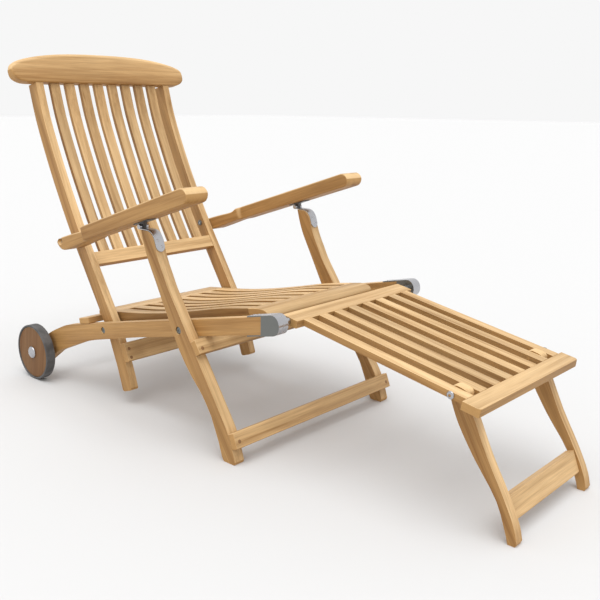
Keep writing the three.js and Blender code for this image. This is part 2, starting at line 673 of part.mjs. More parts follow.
// Arms: the side outline and the plan outline in common
const [noseStart, noseStop] = [ARM_SLOPE_DEG + QUARTER_TURN, ARM_SLOPE_DEG - QUARTER_TURN];
const armNose = arc(ARM_NOSE_CENTRE, ARM_NOSE_RADIUS, noseStart, noseStop, END_STEPS);
const armSide = from(armPivot, [...curve(ARM_TOP), ...armNose, ...curve(ARM_BOTTOM)]);
const armTipX = armPivot[0] + ARM_NOSE_CENTRE[0] + ARM_NOSE_RADIUS;
const armInnerLine = [
  [armPivot[0] + ARM_REAR_END, railInner], [armPivot[0] + ARM_NECK_END, railInner],
  [armPivot[0] + ARM_SHOULDER_END, armInner],
];
const armOuterLine = [
  [armPivot[0] + ARM_REAR_END, neckOuter], [armPivot[0] + ARM_NECK_END, neckOuter],
  [armPivot[0] + ARM_SHOULDER_END, armOuter],
];
const innerTip = [armTipX, armInner];
const outerTip = [armTipX, armOuter];
const armPlan = [
  armInnerLine[0],
  ...softStep(armInnerLine[1], armInnerLine[2]),
  ...roundCorner(armInnerLine[2], innerTip, outerTip, ARM_CORNER_ROUND),
  ...roundCorner(innerTip, outerTip, armOuterLine[2], ARM_CORNER_ROUND),
  ...softStep(armOuterLine[1], armOuterLine[2]).reverse(),
  armOuterLine[0],
];
const armLow = Math.min(...ARM_BOTTOM.map((point) => point[1])) - STEP_POINTS;
const armHigh = Math.max(...armNose.map((point) => point[1])) + STEP_POINTS;
const armBolt = { at: armPivot, radius: BOLT_RADIUS + PIN_CLEARANCE };
const boreFloor = neckOuter - COUNTERBORE_DEPTH;
for (const { side, hand } of hands) {
  const slab = plate(armSide, ...span(side, railInner, armOuter), [armBolt]);
  const plan = armPlan.map(([x, y]) => [x, side * y]);
  const board = planPlate(plan, armPivot[1] + armLow, armPivot[1] + armHigh);
  const bore = rod(armPivot, COUNTERBORE_RADIUS, ...span(side, boreFloor, armOuter));
  addPiece(`arm_${hand}`, cut(common(slab, board), [bore]), wood(WOOD_FRONT));
}

// Bolts of the arms: a domed head inside the stile and a nut sunk in the arm
const headFace = STILE_INNER - REST_GAP;
const nutFace = boreFloor + REST_GAP;
for (const { side, hand } of hands) {
  const profile = [
    [0, headFace - BOLT_HEAD_RISE],
    [BOLT_HEAD_RADIUS * Math.cos(Math.PI / 4), headFace - BOLT_HEAD_RISE * DOME_SHARE],
    [BOLT_HEAD_RADIUS, headFace], [BOLT_RADIUS, headFace], [BOLT_RADIUS, nutFace], [NUT_RADIUS, nutFace],
    [NUT_RADIUS, nutFace + NUT_HEIGHT], [0, nutFace + NUT_HEIGHT],
  ];
  addPiece(`arm_bolt_${hand}`, turned(armPivot, mirrored(profile, side)), steel(STEEL));
}

// Front legs and the bars across them
const legEdgeFront = curve(from(legPivot, LEG_FRONT_EDGE));
const legTopFront = curve(from(legPivot, [LEG_FRONT_EDGE[LEG_FRONT_EDGE.length - 1], ...LEG_FRONT_TOP]));
const legOutline = [
  ...curve(from(legPivot, LEG_REAR_EDGE)),
  ...from(legPivot, LEG_REAR_FOOT),
  [LEG_PIVOT_X + LEG_FOOT_REAR, 0],
  [LEG_PIVOT_X + LEG_FOOT_FRONT, 0],
  ...legEdgeFront,
  ...legTopFront.slice(1),
];
for (const { side, hand } of hands) {
  const leg = plate(legOutline, ...span(side, legInner, legOuter),
    [{ at: legPivot, radius: PIVOT_ROD_RADIUS + PIN_CLEARANCE }]);
  const recess = rod(legPivot, recessRadius, ...span(side, legOuter - ROD_RECESS_DEPTH, legOuter + LEG_GAP));
  addPiece(`front_leg_${hand}`, cut(leg, [recess]), wood(WOOD_FRONT));
}
const crossBars = [
  { name: 'front_leg_bar_upper', top: UPPER_BAR_TOP, height: UPPER_BAR_HEIGHT },
  { name: 'front_leg_bar_lower', top: LOWER_BAR_TOP, height: LOWER_BAR_HEIGHT },
];
for (const { name, top, height } of crossBars) {
  const high = legPivot[1] + top;
  const board = boardOnLegs(legEdgeFront, high, high - height, CROSS_BAR_THICKNESS);
  addPiece(name, plate(board, -legOuter, legOuter), wood(WOOD_FRONT));
}

// Hinges: a strap over the top of each leg with a pin in its two eyes, and a leaf under the arm with one lug
const legMiddle = (legInner + legOuter) / 2;
const hingeSpan = [legMiddle - HINGE_PLATE_WIDTH / 2, legMiddle + HINGE_PLATE_WIDTH / 2];
const lugSpan = [legMiddle - HINGE_LUG_WIDTH / 2, legMiddle + HINGE_LUG_WIDTH / 2];
const eyeReach = HINGE_EYE_RADIUS + 2 * REST_GAP;
const legTopZ = legPivot[1] + LEG_FRONT_TOP[LEG_FRONT_TOP.length - 1][1];
const strapLow = legPivot[1] + HINGE_PLATE_LOW;
const strapLine = [
  ...between(legEdgeFront, 1, strapLow - HINGE_PLATE_WIDTH, strapLow),
  ...legTopFront.slice(1),
  [hingePivot[0] + eyeReach, legTopZ],
];
const strapOutline = [
  ...offset(strapLine, -REST_GAP),
  ...offset(strapLine, -REST_GAP - HINGE_PLATE_THICKNESS).reverse(),
];
const strapFace = [
  [hingeSpan[0], hingePivot[1] + HINGE_EYE_RADIUS], [hingeSpan[1], hingePivot[1] + HINGE_EYE_RADIUS],
  ...arc([legMiddle, strapLow], HINGE_PLATE_WIDTH / 2, 0, -HALF_TURN, END_STEPS),
];
const eyeLink = [
  [hingePivot[0], legTopZ + REST_GAP], [hingePivot[0] + 2 * eyeReach, legTopZ + REST_GAP],
  [hingePivot[0] + 2 * eyeReach, legTopZ + REST_GAP + HINGE_PLATE_THICKNESS],
  [hingePivot[0], legTopZ + REST_GAP + HINGE_PLATE_THICKNESS],
];
const eyes = [[hingeSpan[0], lugSpan[0] - REST_GAP], [lugSpan[1] + REST_GAP, hingeSpan[1]]];
const armUnder = from(armPivot, [ARM_BOTTOM[0], armNose[armNose.length - 1]]);
const leafLine = offset(
  between(armUnder, 0, hingePivot[0] - HINGE_LEAF_REAR, hingePivot[0] + HINGE_LEAF_FRONT), -REST_GAP,
);
const leafOutline = [...leafLine, ...offset(leafLine, -HINGE_PLATE_THICKNESS).reverse()];
const lugRear = hingePivot[0] - HINGE_EYE_RADIUS;
const lugFront = hingePivot[0] + HINGE_EYE_RADIUS;
const lugOutline = [
  [lugRear, hingePivot[1]], [lugFront, hingePivot[1]],
  pointAt(leafLine, 0, lugFront + HINGE_EYE_RADIUS), pointAt(leafLine, 0, lugRear),
];
for (const { side, hand } of hands) {
  const strap = common(
    plate(strapOutline, ...span(side, ...hingeSpan)),
    facePlate(strapFace.map(([y, z]) => [side * y, z]), hingePivot[0], armTipX),
  );
  const rings = eyes.flatMap((eye) => [
    rod(hingePivot, HINGE_EYE_RADIUS, ...span(side, ...eye)),
    plate(eyeLink, ...span(side, ...eye)),
  ]);
  const pin = rod(hingePivot, HINGE_PIN_RADIUS, ...span(side, ...hingeSpan));
  addPiece(`leg_hinge_strap_${hand}`, joined([strap, ...rings, pin]), steel(STEEL));
  const leaf = joined([
    plate(leafOutline, ...span(side, ...hingeSpan)),
    plate(lugOutline, ...span(side, ...lugSpan)),
    rod(hingePivot, HINGE_EYE_RADIUS, ...span(side, ...lugSpan)),
  ]);
  const eyeHole = rod(hingePivot, HINGE_PIN_RADIUS + PIN_CLEARANCE, ...span(side, ...hingeSpan));
  addPiece(`arm_hinge_leaf_${hand}`, cut(leaf, [eyeHole]), steel(STEEL_DARK));
}

// Leg rest
const drop = THREE.MathUtils.degToRad(REST_DROP_DEG);
const restWay = [Math.cos(drop), -Math.sin(drop)];
const restPoint = (along, down) => [
  REST_TOP_REAR[0] + restWay[0] * along + restWay[1] * down,
  REST_TOP_REAR[1] + restWay[1] * along - restWay[0] * down,
];
const restPivot = restPoint(REST_PIVOT_ALONG, REST_THICKNESS / 2);
const footStart = REST_LENGTH - REST_FOOT_WIDTH;
const headBar = bar(restPoint(0, 0), restWay, REST_HEAD_WIDTH, REST_THICKNESS);
const headBoard = plate(headBar, -restHeadHalf, restHeadHalf);
const pinBores = hands.map(({ side }) => {
  return rod(restPivot, REST_PIN_RADIUS + PIN_CLEARANCE,
    ...span(side, restHeadHalf - REST_PIN_DEPTH - REST_GAP, railInner));
});
addPiece('leg_rest_head_board', cut(headBoard, pinBores), wood(WOOD_PALE));
const footBar = bar(restPoint(footStart, 0), restWay, REST_FOOT_WIDTH, REST_THICKNESS);
const footFront = footBar[1][0];
const footRear = footBar[3][0] - STEP_POINTS;
const footCorners = [
  [footRear, -restFootHalf], [footFront, -restFootHalf], [footFront, restFootHalf], [footRear, restFootHalf],
];
const footPlan = [
  footCorners[0],
  ...roundCorner(...footCorners.slice(0, 3), REST_FOOT_ROUND),
  ...roundCorner(...footCorners.slice(1), REST_FOOT_ROUND),
  footCorners[3],
];
const footBoard = common(plate(footBar, -railInner, railInner), planPlate(footPlan, axle[1], armPivot[1]));
addPiece('leg_rest_foot_board', footBoard, wood(WOOD_PALE));
const restSlat = bar(restPoint(REST_HEAD_WIDTH + REST_GAP, 0), restWay,
  footStart - REST_HEAD_WIDTH - 2 * REST_GAP, REST_SLAT_THICKNESS);
const restPitch = (2 * restSlatsHalf - REST_SLAT_WIDTH) / (REST_SLATS - 1);
const restSlatStart = (i) => -restSlatsHalf + i * restPitch;
const propPivot = restPoint(REST_LENGTH - PROP_PIVOT_INSET, REST_SLAT_THICKNESS / 2);
const propHole = { at: propPivot, radius: PROP_BOLT_RADIUS + REST_GAP };
for (let i = 0; i < REST_SLATS; i += 1) {
  const holes = [0, 1, REST_SLATS - 2, REST_SLATS - 1].includes(i) ? [propHole] : [];
  const slat = plate(restSlat, restSlatStart(i), restSlatStart(i) + REST_SLAT_WIDTH, holes);
  addPiece(`leg_rest_slat_${i + 1}`, slat, wood(WOOD_PALE));
}

// Brackets: a steel cap over each rail end with tails above and below, and the pin of the leg rest inside
const noseFrom = (x) => [
  [x, railTop(x) - railDrop],
  ...roundCorner([x, railTop(x) - railDrop], railFrontBottom, railFrontTop, RAIL_NOSE_ROUND),
  ...roundCorner(railFrontBottom, railFrontTop, [x, railTop(x)], RAIL_NOSE_ROUND),
  [x, railTop(x)],
];
const steelOut = REST_GAP + BRACKET_PLATE;
for (const { side, hand } of hands) {
  const cheeks = plate(grown(noseFrom(BRACKET_SIDE_REAR), steelOut),
    ...span(side, railInner - steelOut, railOuter + steelOut));
  const strap = plate(grown(noseFrom(BRACKET_TAIL_REAR), steelOut), ...span(side, railInner, railOuter));
  const inside = plate(grown(noseFrom(straightTop[0]), REST_GAP),
    ...span(side, railInner - REST_GAP, railOuter + REST_GAP));
  const cap = cut(joined([cheeks, strap]), [inside]);
  const pin = rod(restPivot, REST_PIN_RADIUS,
    ...span(side, restHeadHalf - REST_PIN_DEPTH, railInner - REST_GAP));
  const collar = rod(restPivot, REST_COLLAR_RADIUS,
    ...span(side, restHeadHalf + REST_COLLAR_GAP, railInner - REST_GAP));
  addPiece(`rail_bracket_${hand}`, joined([cap, pin, collar]), steel(STEEL));
}

// Prop legs under the leg rest, each standing in the gap beside the outermost slat, with its bolt
const propOuter = restSlatsHalf - REST_SLAT_WIDTH - PROP_CLEARANCE;
const propInner = restSlatsHalf - restPitch + PROP_CLEARANCE;
const propOutline = [
  ...curve(from(propPivot, PROP_REAR_EDGE)),
  [propPivot[0] + PROP_FOOT_REAR, 0],
  [propPivot[0] + PROP_FOOT_FRONT, 0],
  ...curve(from(propPivot, PROP_FRONT_EDGE)),
  ...from(propPivot, PROP_HEAD),
];
const boltInner = restSlatsHalf - restPitch - REST_SLAT_WIDTH;
const boltOuter = restSlatsHalf + REST_GAP;
for (const { side, hand } of hands) {
  const leg = plate(propOutline, ...span(side, propInner, propOuter));
  const bolt = turned(propPivot, mirrored([
    [0, boltInner], [PROP_BOLT_RADIUS, boltInner], [PROP_BOLT_RADIUS, boltOuter],
    [PROP_BOLT_HEAD_RADIUS, boltOuter],
    [PROP_BOLT_HEAD_RADIUS * Math.cos(Math.PI / 4), boltOuter + PROP_BOLT_HEAD_RISE * DOME_SHARE],
    [0, boltOuter + PROP_BOLT_HEAD_RISE],
  ], side));
  addPiece(`prop_leg_${hand}`, joined([leg, bolt]), wood(WOOD_SIDE));
}
const [boardTop, boardLow] = from(propPivot, PROP_BOARD_FACE);
const propBoard = bar(boardTop, [boardLow[0] - boardTop[0], boardLow[1] - boardTop[1]],
  PROP_BOARD_HEIGHT, PROP_BOARD_THICKNESS);
addPiece('prop_leg_board', plate(propBoard, REST_GAP - propInner, propInner - REST_GAP), wood(WOOD_SIDE));

// Origin at ground level under the middle of the whole length
const footTipX = Math.max(...propOutline.map((point) => point[0]));
chair.position.x = -(AXLE_X - TYRE_RADIUS + footTipX) / 2;

export default chair;
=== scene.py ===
import json
import math

import bmesh
import bpy
from mathutils import Euler, Matrix, Vector
from mathutils.bvhtree import BVHTree


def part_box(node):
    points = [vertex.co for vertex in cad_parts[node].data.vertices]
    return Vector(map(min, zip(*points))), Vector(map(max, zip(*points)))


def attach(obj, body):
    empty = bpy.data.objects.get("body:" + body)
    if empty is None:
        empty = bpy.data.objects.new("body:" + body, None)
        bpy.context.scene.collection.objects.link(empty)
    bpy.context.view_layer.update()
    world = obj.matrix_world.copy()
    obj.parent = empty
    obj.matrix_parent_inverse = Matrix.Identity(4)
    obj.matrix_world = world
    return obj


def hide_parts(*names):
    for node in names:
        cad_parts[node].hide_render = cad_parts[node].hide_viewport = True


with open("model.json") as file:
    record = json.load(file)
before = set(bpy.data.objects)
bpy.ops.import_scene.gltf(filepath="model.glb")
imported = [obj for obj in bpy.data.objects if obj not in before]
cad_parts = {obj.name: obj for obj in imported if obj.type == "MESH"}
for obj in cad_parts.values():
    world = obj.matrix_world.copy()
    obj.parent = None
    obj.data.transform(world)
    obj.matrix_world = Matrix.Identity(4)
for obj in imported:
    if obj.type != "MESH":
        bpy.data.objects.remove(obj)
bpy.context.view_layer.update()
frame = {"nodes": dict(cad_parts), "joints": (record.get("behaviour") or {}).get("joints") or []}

bl_info = {
    "name": "Steamer deck chair",
    "version": (1, 0, 0),
    "blender": (4, 5, 0),
    "location": "View3D > Sidebar > Deck chair",
    "description": "Dresses the packed steamer deck chair with wood, steel and rubber",
    "category": "Object",
}

NODES = frame["nodes"]
MM = 0.001
HANDS = (("right", -1), ("left", 1))

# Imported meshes: the gap closed between their split faces, and the turn under which faces count as one
WELD_DISTANCE = 0.02 * MM
FLAT_ANGLE = math.radians(0.6)

# Turns from which an edge counts as sharp
EASED_ANGLE = math.radians(34)
LATHE_SHARP_ANGLE = math.radians(50)
HOLLOW_SHARP_ANGLE = math.radians(40)

# A lathe profile meets its axis below this radius
ON_AXIS = 1e-7

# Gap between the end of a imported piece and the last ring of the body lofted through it
END_MARGIN = 0.08 * MM

# Head rail
HEAD_TILT_DEG = 14.0
HEAD_LOW_ROUNDING = 4 * MM
HEAD_END_ROUNDINGS = 4
HEAD_END_RINGS = 12
HEAD_STEP = 12 * MM

# Arms, from the rear end over the narrow neck to the tip
ARM_SLOPE_DEG = 17.97
ARM_UNDER_SHARE = 0.75
ARM_REAR_END = 16 * MM
ARM_REAR_RINGS = 7
ARM_REAR_STEP = 8 * MM
NECK_FROM_PIVOT = 125 * MM
NECK_LENGTH = 40 * MM
NECK_STEP = 2 * MM
ARM_STEP = 14 * MM
ARM_TIP_END = 20 * MM
ARM_TIP_RINGS = 10

# Hollow for the bolt's head in the outer face of each arm, and the hole for its shank
NECK_OUTER = 291 * MM
HOLLOW_RADIUS = 11 * MM
HOLLOW_DEPTH = 14 * MM
HOLE_RADIUS = 4.4 * MM
HOLE_DEPTH = 80 * MM
HOLLOW_SIDES = 40
HOLE_SIDES = 32

# Wheels and axle
WHEEL_GRAIN_DEG = 80
DISC_BORE = 7.4 * MM
DISC_HUB_SHARE = 0.30
DISC_ROUND = 2.5 * MM
TYRE_GAP = 0.3 * MM
TYRE_SHOULDER = 2.2 * MM
TYRE_LIP = 0.8 * MM
AXLE_RADIUS = 7 * MM
CAP_GAP = 0.3 * MM
CAP_RIM = 1.2 * MM

# Nose of the brackets: its facets meet at turns between these two, and are eased by this much
NOSE_TURN_LOW = math.radians(12)
NOSE_TURN_HIGH = math.radians(70)
NOSE_EASE = 5 * MM

# Bolt heads with a hexagon socket: radius and rise of each, and where they sit
ROD_HEAD = (8.2 * MM, 1.8 * MM)
ARM_HEAD = (8.3 * MM, 3.0 * MM)
ARM_HEAD_SEAT = 2.2 * MM
PROP_HEAD = (8.0 * MM, 4.0 * MM)
PROP_HEAD_SINK = 3.4 * MM
HEAD_SINK = 0.3 * MM
SOCKET_SIDES = 6

# Screws with a cross recess
SCREW_RADIUS = 3.6 * MM
SCREW_SINK = 0.2 * MM
SCREW_LIP = 0.1 * MM
STRAP_SCREW_RISES = (12 * MM, 27 * MM)
STRAP_SCREW_SHIFT = 4.5 * MM
BRACKET_SCREW_INSETS = (9 * MM, 26 * MM)

# Wooden plugs: radius, heights of foot, side, shoulder and top, and how far in from a board's end
PLUG_RADIUS = 4.5 * MM
PLUG_HEIGHTS = (-0.5 * MM, 0.15 * MM, 0.35 * MM, 0.4 * MM)
PLUG_SHOULDER_SHARE = 0.9
BAR_PLUG_INSET = 13 * MM
SLAT_PLUG_INSET = 11 * MM

# Distance outside a piece from which a line looks for its surface
LOOK_FROM = 0.1

# Stage
FLOOR_REACH = 40.0
FLOOR_ROUGHNESS = 0.9
KEY_DIRECTION = (0.16, -0.20, 1.0)

# Camera at the photograph's viewing angle
CAMERA_PLACE = (1.36519, -1.44239, 0.79828)
CAMERA_TURN_DEG = (76.868, -0.471, 43.407)
SENSOR_WIDTH = 36.0
PHOTO_WIDTH = 600
FOCAL_PIXELS = 798.37
CENTRE_PIXEL = (277.0, 290.0)

# Wood: the grain runs along X in a piece's own space once turned, and each layer is drawn out along it
GRAIN_ACROSS = (0.0, 0.0, -math.pi / 2)
STREAK_STRETCH = (0.9, 26.0, 26.0)
FIGURE_STRETCH = (2.2, 60.0, 60.0)
FIBRE_STRETCH = (14.0, 700.0, 700.0)
CLOUD_STRETCH = (3.0, 9.0, 9.0)
KNOT_STRETCH = (0.8, 1.6, 1.6)
KNOT_SCALE = 5.0
KNOT_PICK = 0.6
KNOT_SHADE = 0.45
PORE_SCALE = 700.0
SEED_SPREAD = 37.0
BOARD_SPREAD = 0.16
FIGURE_SHARE = 0.38
END_TONE = 1.04
END_SHARE = 0.8
# Painted shade: tint that darkens the wood's faces that look sideways or down, as if shaded from the light
# overhead
PAINTED_SIDE_SHADE = (0.66, 0.54, 0.37, 1.0)
# Pale edges of the wood: partly wear, partly a painted highlight along every edge
WOOD_WEAR_AND_HIGHLIGHT_RADIUS = 2.5 * MM
WOOD_WEAR_AND_HIGHLIGHT_SHARE = 0.6
WOOD_WEAR_AND_HIGHLIGHT_TONE = 1.16
WOOD_SPECULAR = 0.35

# Steel and rubber
GROOVE_STRETCH = (40.0, 900.0, 900.0)
STEEL_CLOUD_SCALE = 28.0
STEEL_STAIN_TONE = 0.92
STEEL_WEAR_RADIUS = 1.0 * MM
STEEL_WEAR_TONE = 1.25
DUST_SCALE = 35.0
DUST_TONE = 1.9
DUST_LIFT = 0.02
RUBBER_GRAIN_SCALE = 1400.0

# End grain of the plugs
SPECKLE_SCALE = 900.0
SPECKLE_TONE = 0.6


# Places and names read from the frame

def middle_of(name):
    """Middle of the box around a node."""
    low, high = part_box(name)
    return (low + high) / 2


def turned_size(name):
    """Radius and half width of a node that is round about Y."""
    low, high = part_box(name)
    return (high.x - low.x) / 2, (high.y - low.y) / 2


def lean_of(name, rises):
    """Angle of a long piece in the side view, from the diagonal of its box."""
    low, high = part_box(name)
    angle = math.atan2(high.z - low.z, high.x - low.x)
    return angle if rises else -angle


def pair_of(stem):
    """Names of the right and left node of a pair."""
    return [f"{stem}_{hand}" for hand, _ in HANDS]


def row_of(stem):
    """Names of a numbered row of nodes, as many as the frame has."""
    names = []
    while f"{stem}_{len(names) + 1}" in NODES:
        names.append(f"{stem}_{len(names) + 1}")
    if not names:
        raise RuntimeError(f"the frame has no row of {stem}")
    return names


def pivot_of(joint):
    """Place of a joint in the frame."""
    for entry in frame["joints"]:
        if entry["name"] == joint:
            return Vector(entry["pos_m"])
    raise RuntimeError(f"the frame has no joint named {joint}")


# Settings that a user would change

def tone(name, description, colour):
    """Property that holds a colour."""
    return bpy.props.FloatVectorProperty(
        name=name, description=description, default=(*colour, 1.0),
        size=4, min=0.0, max=1.0, subtype="COLOR",
    )


def length(name, description, value):
    """Property that holds a length."""
    return bpy.props.FloatProperty(name=name, description=description, default=value, min=0.0, unit="LENGTH")


class WoodSettings(bpy.types.PropertyGroup):
    """Colours and edge rounding of the wood"""

    light: tone("Light wood", "Early wood of the teak boards", (0.74, 0.505, 0.255))
    dark: tone("Dark wood", "Late wood and streaks of the teak boards", (0.34, 0.180, 0.060))
    wheel_light: tone("Wheel light", "Early wood of the wheel discs", (0.40, 0.235, 0.105))
    wheel_dark: tone("Wheel dark", "Late wood of the wheel discs", (0.24, 0.115, 0.042))
    plug: tone("Plug", "End grain of the wooden plugs over the screws", (0.30, 0.15, 0.055))
    rounding: length("Edge rounding", "Radius of the eased edges of the frame timbers", 1.8 * MM)
    slat_rounding: length("Slat rounding", "Radius of the eased edges of the slats", 1.1 * MM)
    arm_rounding: length("Arm rounding", "Radius of the rounded edges of the arms", 4.0 * MM)
    head_rounding: length("Head rounding", "Radius of the top edge and ends of the head rail", 11.0 * MM)


class MetalSettings(bpy.types.PropertyGroup):
    """Colours of the steel and the rubber"""

    bright: tone("Bright steel", "Polished bolts, caps and straps", (0.50, 0.50, 0.52))
    plate: tone("Plate steel", "Satin steel of the rail brackets", (0.20, 0.205, 0.195))
    # Painted shade: a slightly darker copy of the plate steel for the arm hinge leaves, standing in for
    # their shade
    dark: tone("Dark steel", "Shaded leaves of the arm hinges", (0.17, 0.17, 0.17))
    rubber: tone("Rubber", "Tyres", (0.065, 0.063, 0.062))
    rounding: length("Metal rounding", "Radius of the eased edges of the steel", 0.7 * MM)


class StageSettings(bpy.types.PropertyGroup):
    """Floor, light and camera"""

    floor: tone("Floor", "Pale studio floor", (0.64, 0.64, 0.64))
    key: bpy.props.FloatProperty(
        name="Key light", description="Strength of the broad soft light overhead", default=1.9, min=0.0
    )
    key_spread: bpy.props.FloatProperty(
        name="Key spread", description="Width of the soft light as seen from the floor",
        default=math.radians(55), min=0.0, max=math.pi, subtype="ANGLE",
    )
    sky: bpy.props.FloatProperty(
        name="Sky", description="Strength of the even light from all around", default=0.93, min=0.0
    )


# Shader building

def new_material(name):
    """Material with its node tree and its shader."""
    made = bpy.data.materials.new(name)
    made.use_nodes = True
    return made, made.node_tree, made.node_tree.nodes["Principled BSDF"]


def add_node(tree, kind, **values):
    """New node with some of its settings."""
    made = tree.nodes.new(kind)
    for key, value in values.items():
        setattr(made, key, value)
    return made


def feed(tree, socket, value):
    """Links a socket to an output, or sets it to a plain value."""
    if isinstance(value, bpy.types.NodeSocket):
        tree.links.new(value, socket)
    else:
        socket.default_value = value


def grey(value):
    """Grey colour of a given lightness."""
    return (value, value, value, 1.0)


def toned(colour, factor):
    """Colour made lighter or darker, white at most."""
    return [min(1.0, c * factor) for c in colour[:3]] + [1.0]


def ramp(tree, source, stops):
    """Colour ramp on a grey value, from pairs of place and colour."""
    made = add_node(tree, "ShaderNodeValToRGB")
    elements = made.color_ramp.elements
    while len(elements) < len(stops):
        elements.new(1.0)
    for element, (place, colour) in zip(elements, stops):
        element.position = place
        element.color = (*colour[:3], 1.0)
    tree.links.new(source, made.inputs["Fac"])
    return made.outputs["Color"]


def mixed(tree, blend, factor, first, second):
    """Mix of two colours; the factor and the colours may be sockets or plain values."""
    made = add_node(tree, "ShaderNodeMix", data_type="RGBA", blend_type=blend)
    feed(tree, made.inputs[0], factor)
    feed(tree, made.inputs[6], first)
    feed(tree, made.inputs[7], second)
    return made.outputs[2]


def remapped(tree, source, low, high, to_low, to_high):
    """Value moved from one range to another, and held inside it."""
    made = add_node(tree, "ShaderNodeMapRange")
    made.inputs["From Min"].default_value = low
    made.inputs["From Max"].default_value = high
    made.inputs["To Min"].default_value = to_low
    made.inputs["To Max"].default_value = to_high
    tree.links.new(source, made.inputs["Value"])
    return made.outputs["Result"]


def math_of(tree, operation, first, second):
    """Sum, product or comparison of two values, each a socket or plain."""
    made = add_node(tree, "ShaderNodeMath", operation=operation)
    feed(tree, made.inputs[0], first)
    feed(tree, made.inputs[1], second)
    return made.outputs[0]


def object_space(tree, turn=(0.0, 0.0, 0.0), stretch=(1.0, 1.0, 1.0)):
    """Coordinates of the piece itself, turned so that its grain runs along X, then stretched."""
    place = add_node(tree, "ShaderNodeTexCoord")
    turned = add_node(tree, "ShaderNodeMapping")
    turned.inputs["Rotation"].default_value = turn
    scaled = add_node(tree, "ShaderNodeMapping")
    scaled.inputs["Scale"].default_value = stretch
    tree.links.new(place.outputs["Object"], turned.inputs["Vector"])
    tree.links.new(turned.outputs["Vector"], scaled.inputs["Vector"])
    return scaled.outputs["Vector"]


def noise(tree, vector, scale, detail, roughness=0.5, distortion=0.0, seed=None):
    """Soft noise; the seed gives each piece its own."""
    made = add_node(tree, "ShaderNodeTexNoise", noise_dimensions="4D")
    made.inputs["Scale"].default_value = scale
    made.inputs["Detail"].default_value = detail
    made.inputs["Roughness"].default_value = roughness
    made.inputs["Distortion"].default_value = distortion
    tree.links.new(vector, made.inputs["Vector"])
    if seed is not None:
        tree.links.new(seed, made.inputs["W"])
    return made.outputs["Fac"]


def edge_mask(tree, radius):
    """White where an edge is near: the rounded normal leaves the true one."""
    rounded = add_node(tree, "ShaderNodeBevel", samples=4)
    rounded.inputs["Radius"].default_value = radius
    surface = add_node(tree, "ShaderNodeNewGeometry")
    dot = add_node(tree, "ShaderNodeVectorMath", operation="DOT_PRODUCT")
    tree.links.new(rounded.outputs["Normal"], dot.inputs[0])
    tree.links.new(surface.outputs["Normal"], dot.inputs[1])
    return remapped(tree, dot.outputs["Value"], 0.98, 0.75, 0.0, 1.0)


def own_normal(tree):
    """Normal of the surface in the piece's own space."""
    surface = add_node(tree, "ShaderNodeNewGeometry")
    local = add_node(tree, "ShaderNodeVectorTransform", vector_type="NORMAL")
    local.convert_from = "WORLD"
    local.convert_to = "OBJECT"
    tree.links.new(surface.outputs["Normal"], local.inputs["Vector"])
    return local.outputs["Vector"]


def painted_side_shade_mask(tree):
    """Painted shade mask: white on faces that look sideways or down, which are darkened as if shaded from
    the light overhead.
    """
    parts = add_node(tree, "ShaderNodeSeparateXYZ")
    tree.links.new(own_normal(tree), parts.inputs["Vector"])
    return remapped(tree, parts.outputs["Z"], 0.12, 0.42, 1.0, 0.0)


def end_faces(tree, turn):
    """White where a face looks along the grain."""
    turned = add_node(tree, "ShaderNodeMapping", vector_type="NORMAL")
    turned.inputs["Rotation"].default_value = turn
    parts = add_node(tree, "ShaderNodeSeparateXYZ")
    tree.links.new(own_normal(tree), turned.inputs["Vector"])
    tree.links.new(turned.outputs["Vector"], parts.inputs["Vector"])
    along = math_of(tree, "ABSOLUTE", parts.outputs["X"], 0.0)
    return remapped(tree, along, 0.45, 0.85, 0.0, 1.0)


def bump(tree, shader, layers):
    """Bump layers, each a height socket, a strength and a depth, stacked onto the shader's normal."""
    normal = None
    for height, strength, depth in layers:
        made = add_node(tree, "ShaderNodeBump")
        made.inputs["Strength"].default_value = strength
        made.inputs["Distance"].default_value = depth
        tree.links.new(height, made.inputs["Height"])
        if normal is not None:
            tree.links.new(normal, made.inputs["Normal"])
        normal = made.outputs["Normal"]
    tree.links.new(normal, shader.inputs["Normal"])


# Wood

def grain_in_side_view(angle):
    """Turn of the grain for a piece that slopes in the side view."""
    return (0.0, angle, 0.0)


def knots(tree, turn, seed):
    """White in a few small oval spots along the grain."""
    cells = add_node(tree, "ShaderNodeTexVoronoi", voronoi_dimensions="4D")
    cells.inputs["Scale"].default_value = KNOT_SCALE
    tree.links.new(object_space(tree, turn, KNOT_STRETCH), cells.inputs["Vector"])
    tree.links.new(seed, cells.inputs["W"])
    spot = remapped(tree, cells.outputs["Distance"], 0.065, 0.03, 0.0, 0.75)
    pick = add_node(tree, "ShaderNodeSeparateColor")
    tree.links.new(cells.outputs["Color"], pick.inputs["Color"])
    chosen = math_of(tree, "GREATER_THAN", pick.outputs[0], KNOT_PICK)
    return math_of(tree, "MULTIPLY", spot, chosen)


def long_grain(tree, light, dark, streaks, figure, fibres):
    """Colour of the faces along the grain: streaks, finer figure and dark pores."""
    middle = [(light[i] + dark[i]) / 2 for i in range(3)]
    base = ramp(tree, streaks, [(0.30, dark), (0.47, middle), (0.62, light)])
    figured = ramp(tree, figure, [(0.33, dark), (0.56, light)])
    colour = mixed(tree, "MIX", FIGURE_SHARE, base, figured)
    pores = remapped(tree, fibres, 0.30, 0.62, 0.80, 1.06)
    return mixed(tree, "MULTIPLY", 0.75, colour, pores)


def end_grain(tree, light):
    """Colour of the sawn ends: even, with fine pores."""
    pores = noise(tree, object_space(tree), PORE_SCALE, 3.0, 0.6)
    return mixed(tree, "MULTIPLY", 0.8, toned(light, END_TONE), remapped(tree, pores, 0.3, 0.7, 0.84, 1.1))


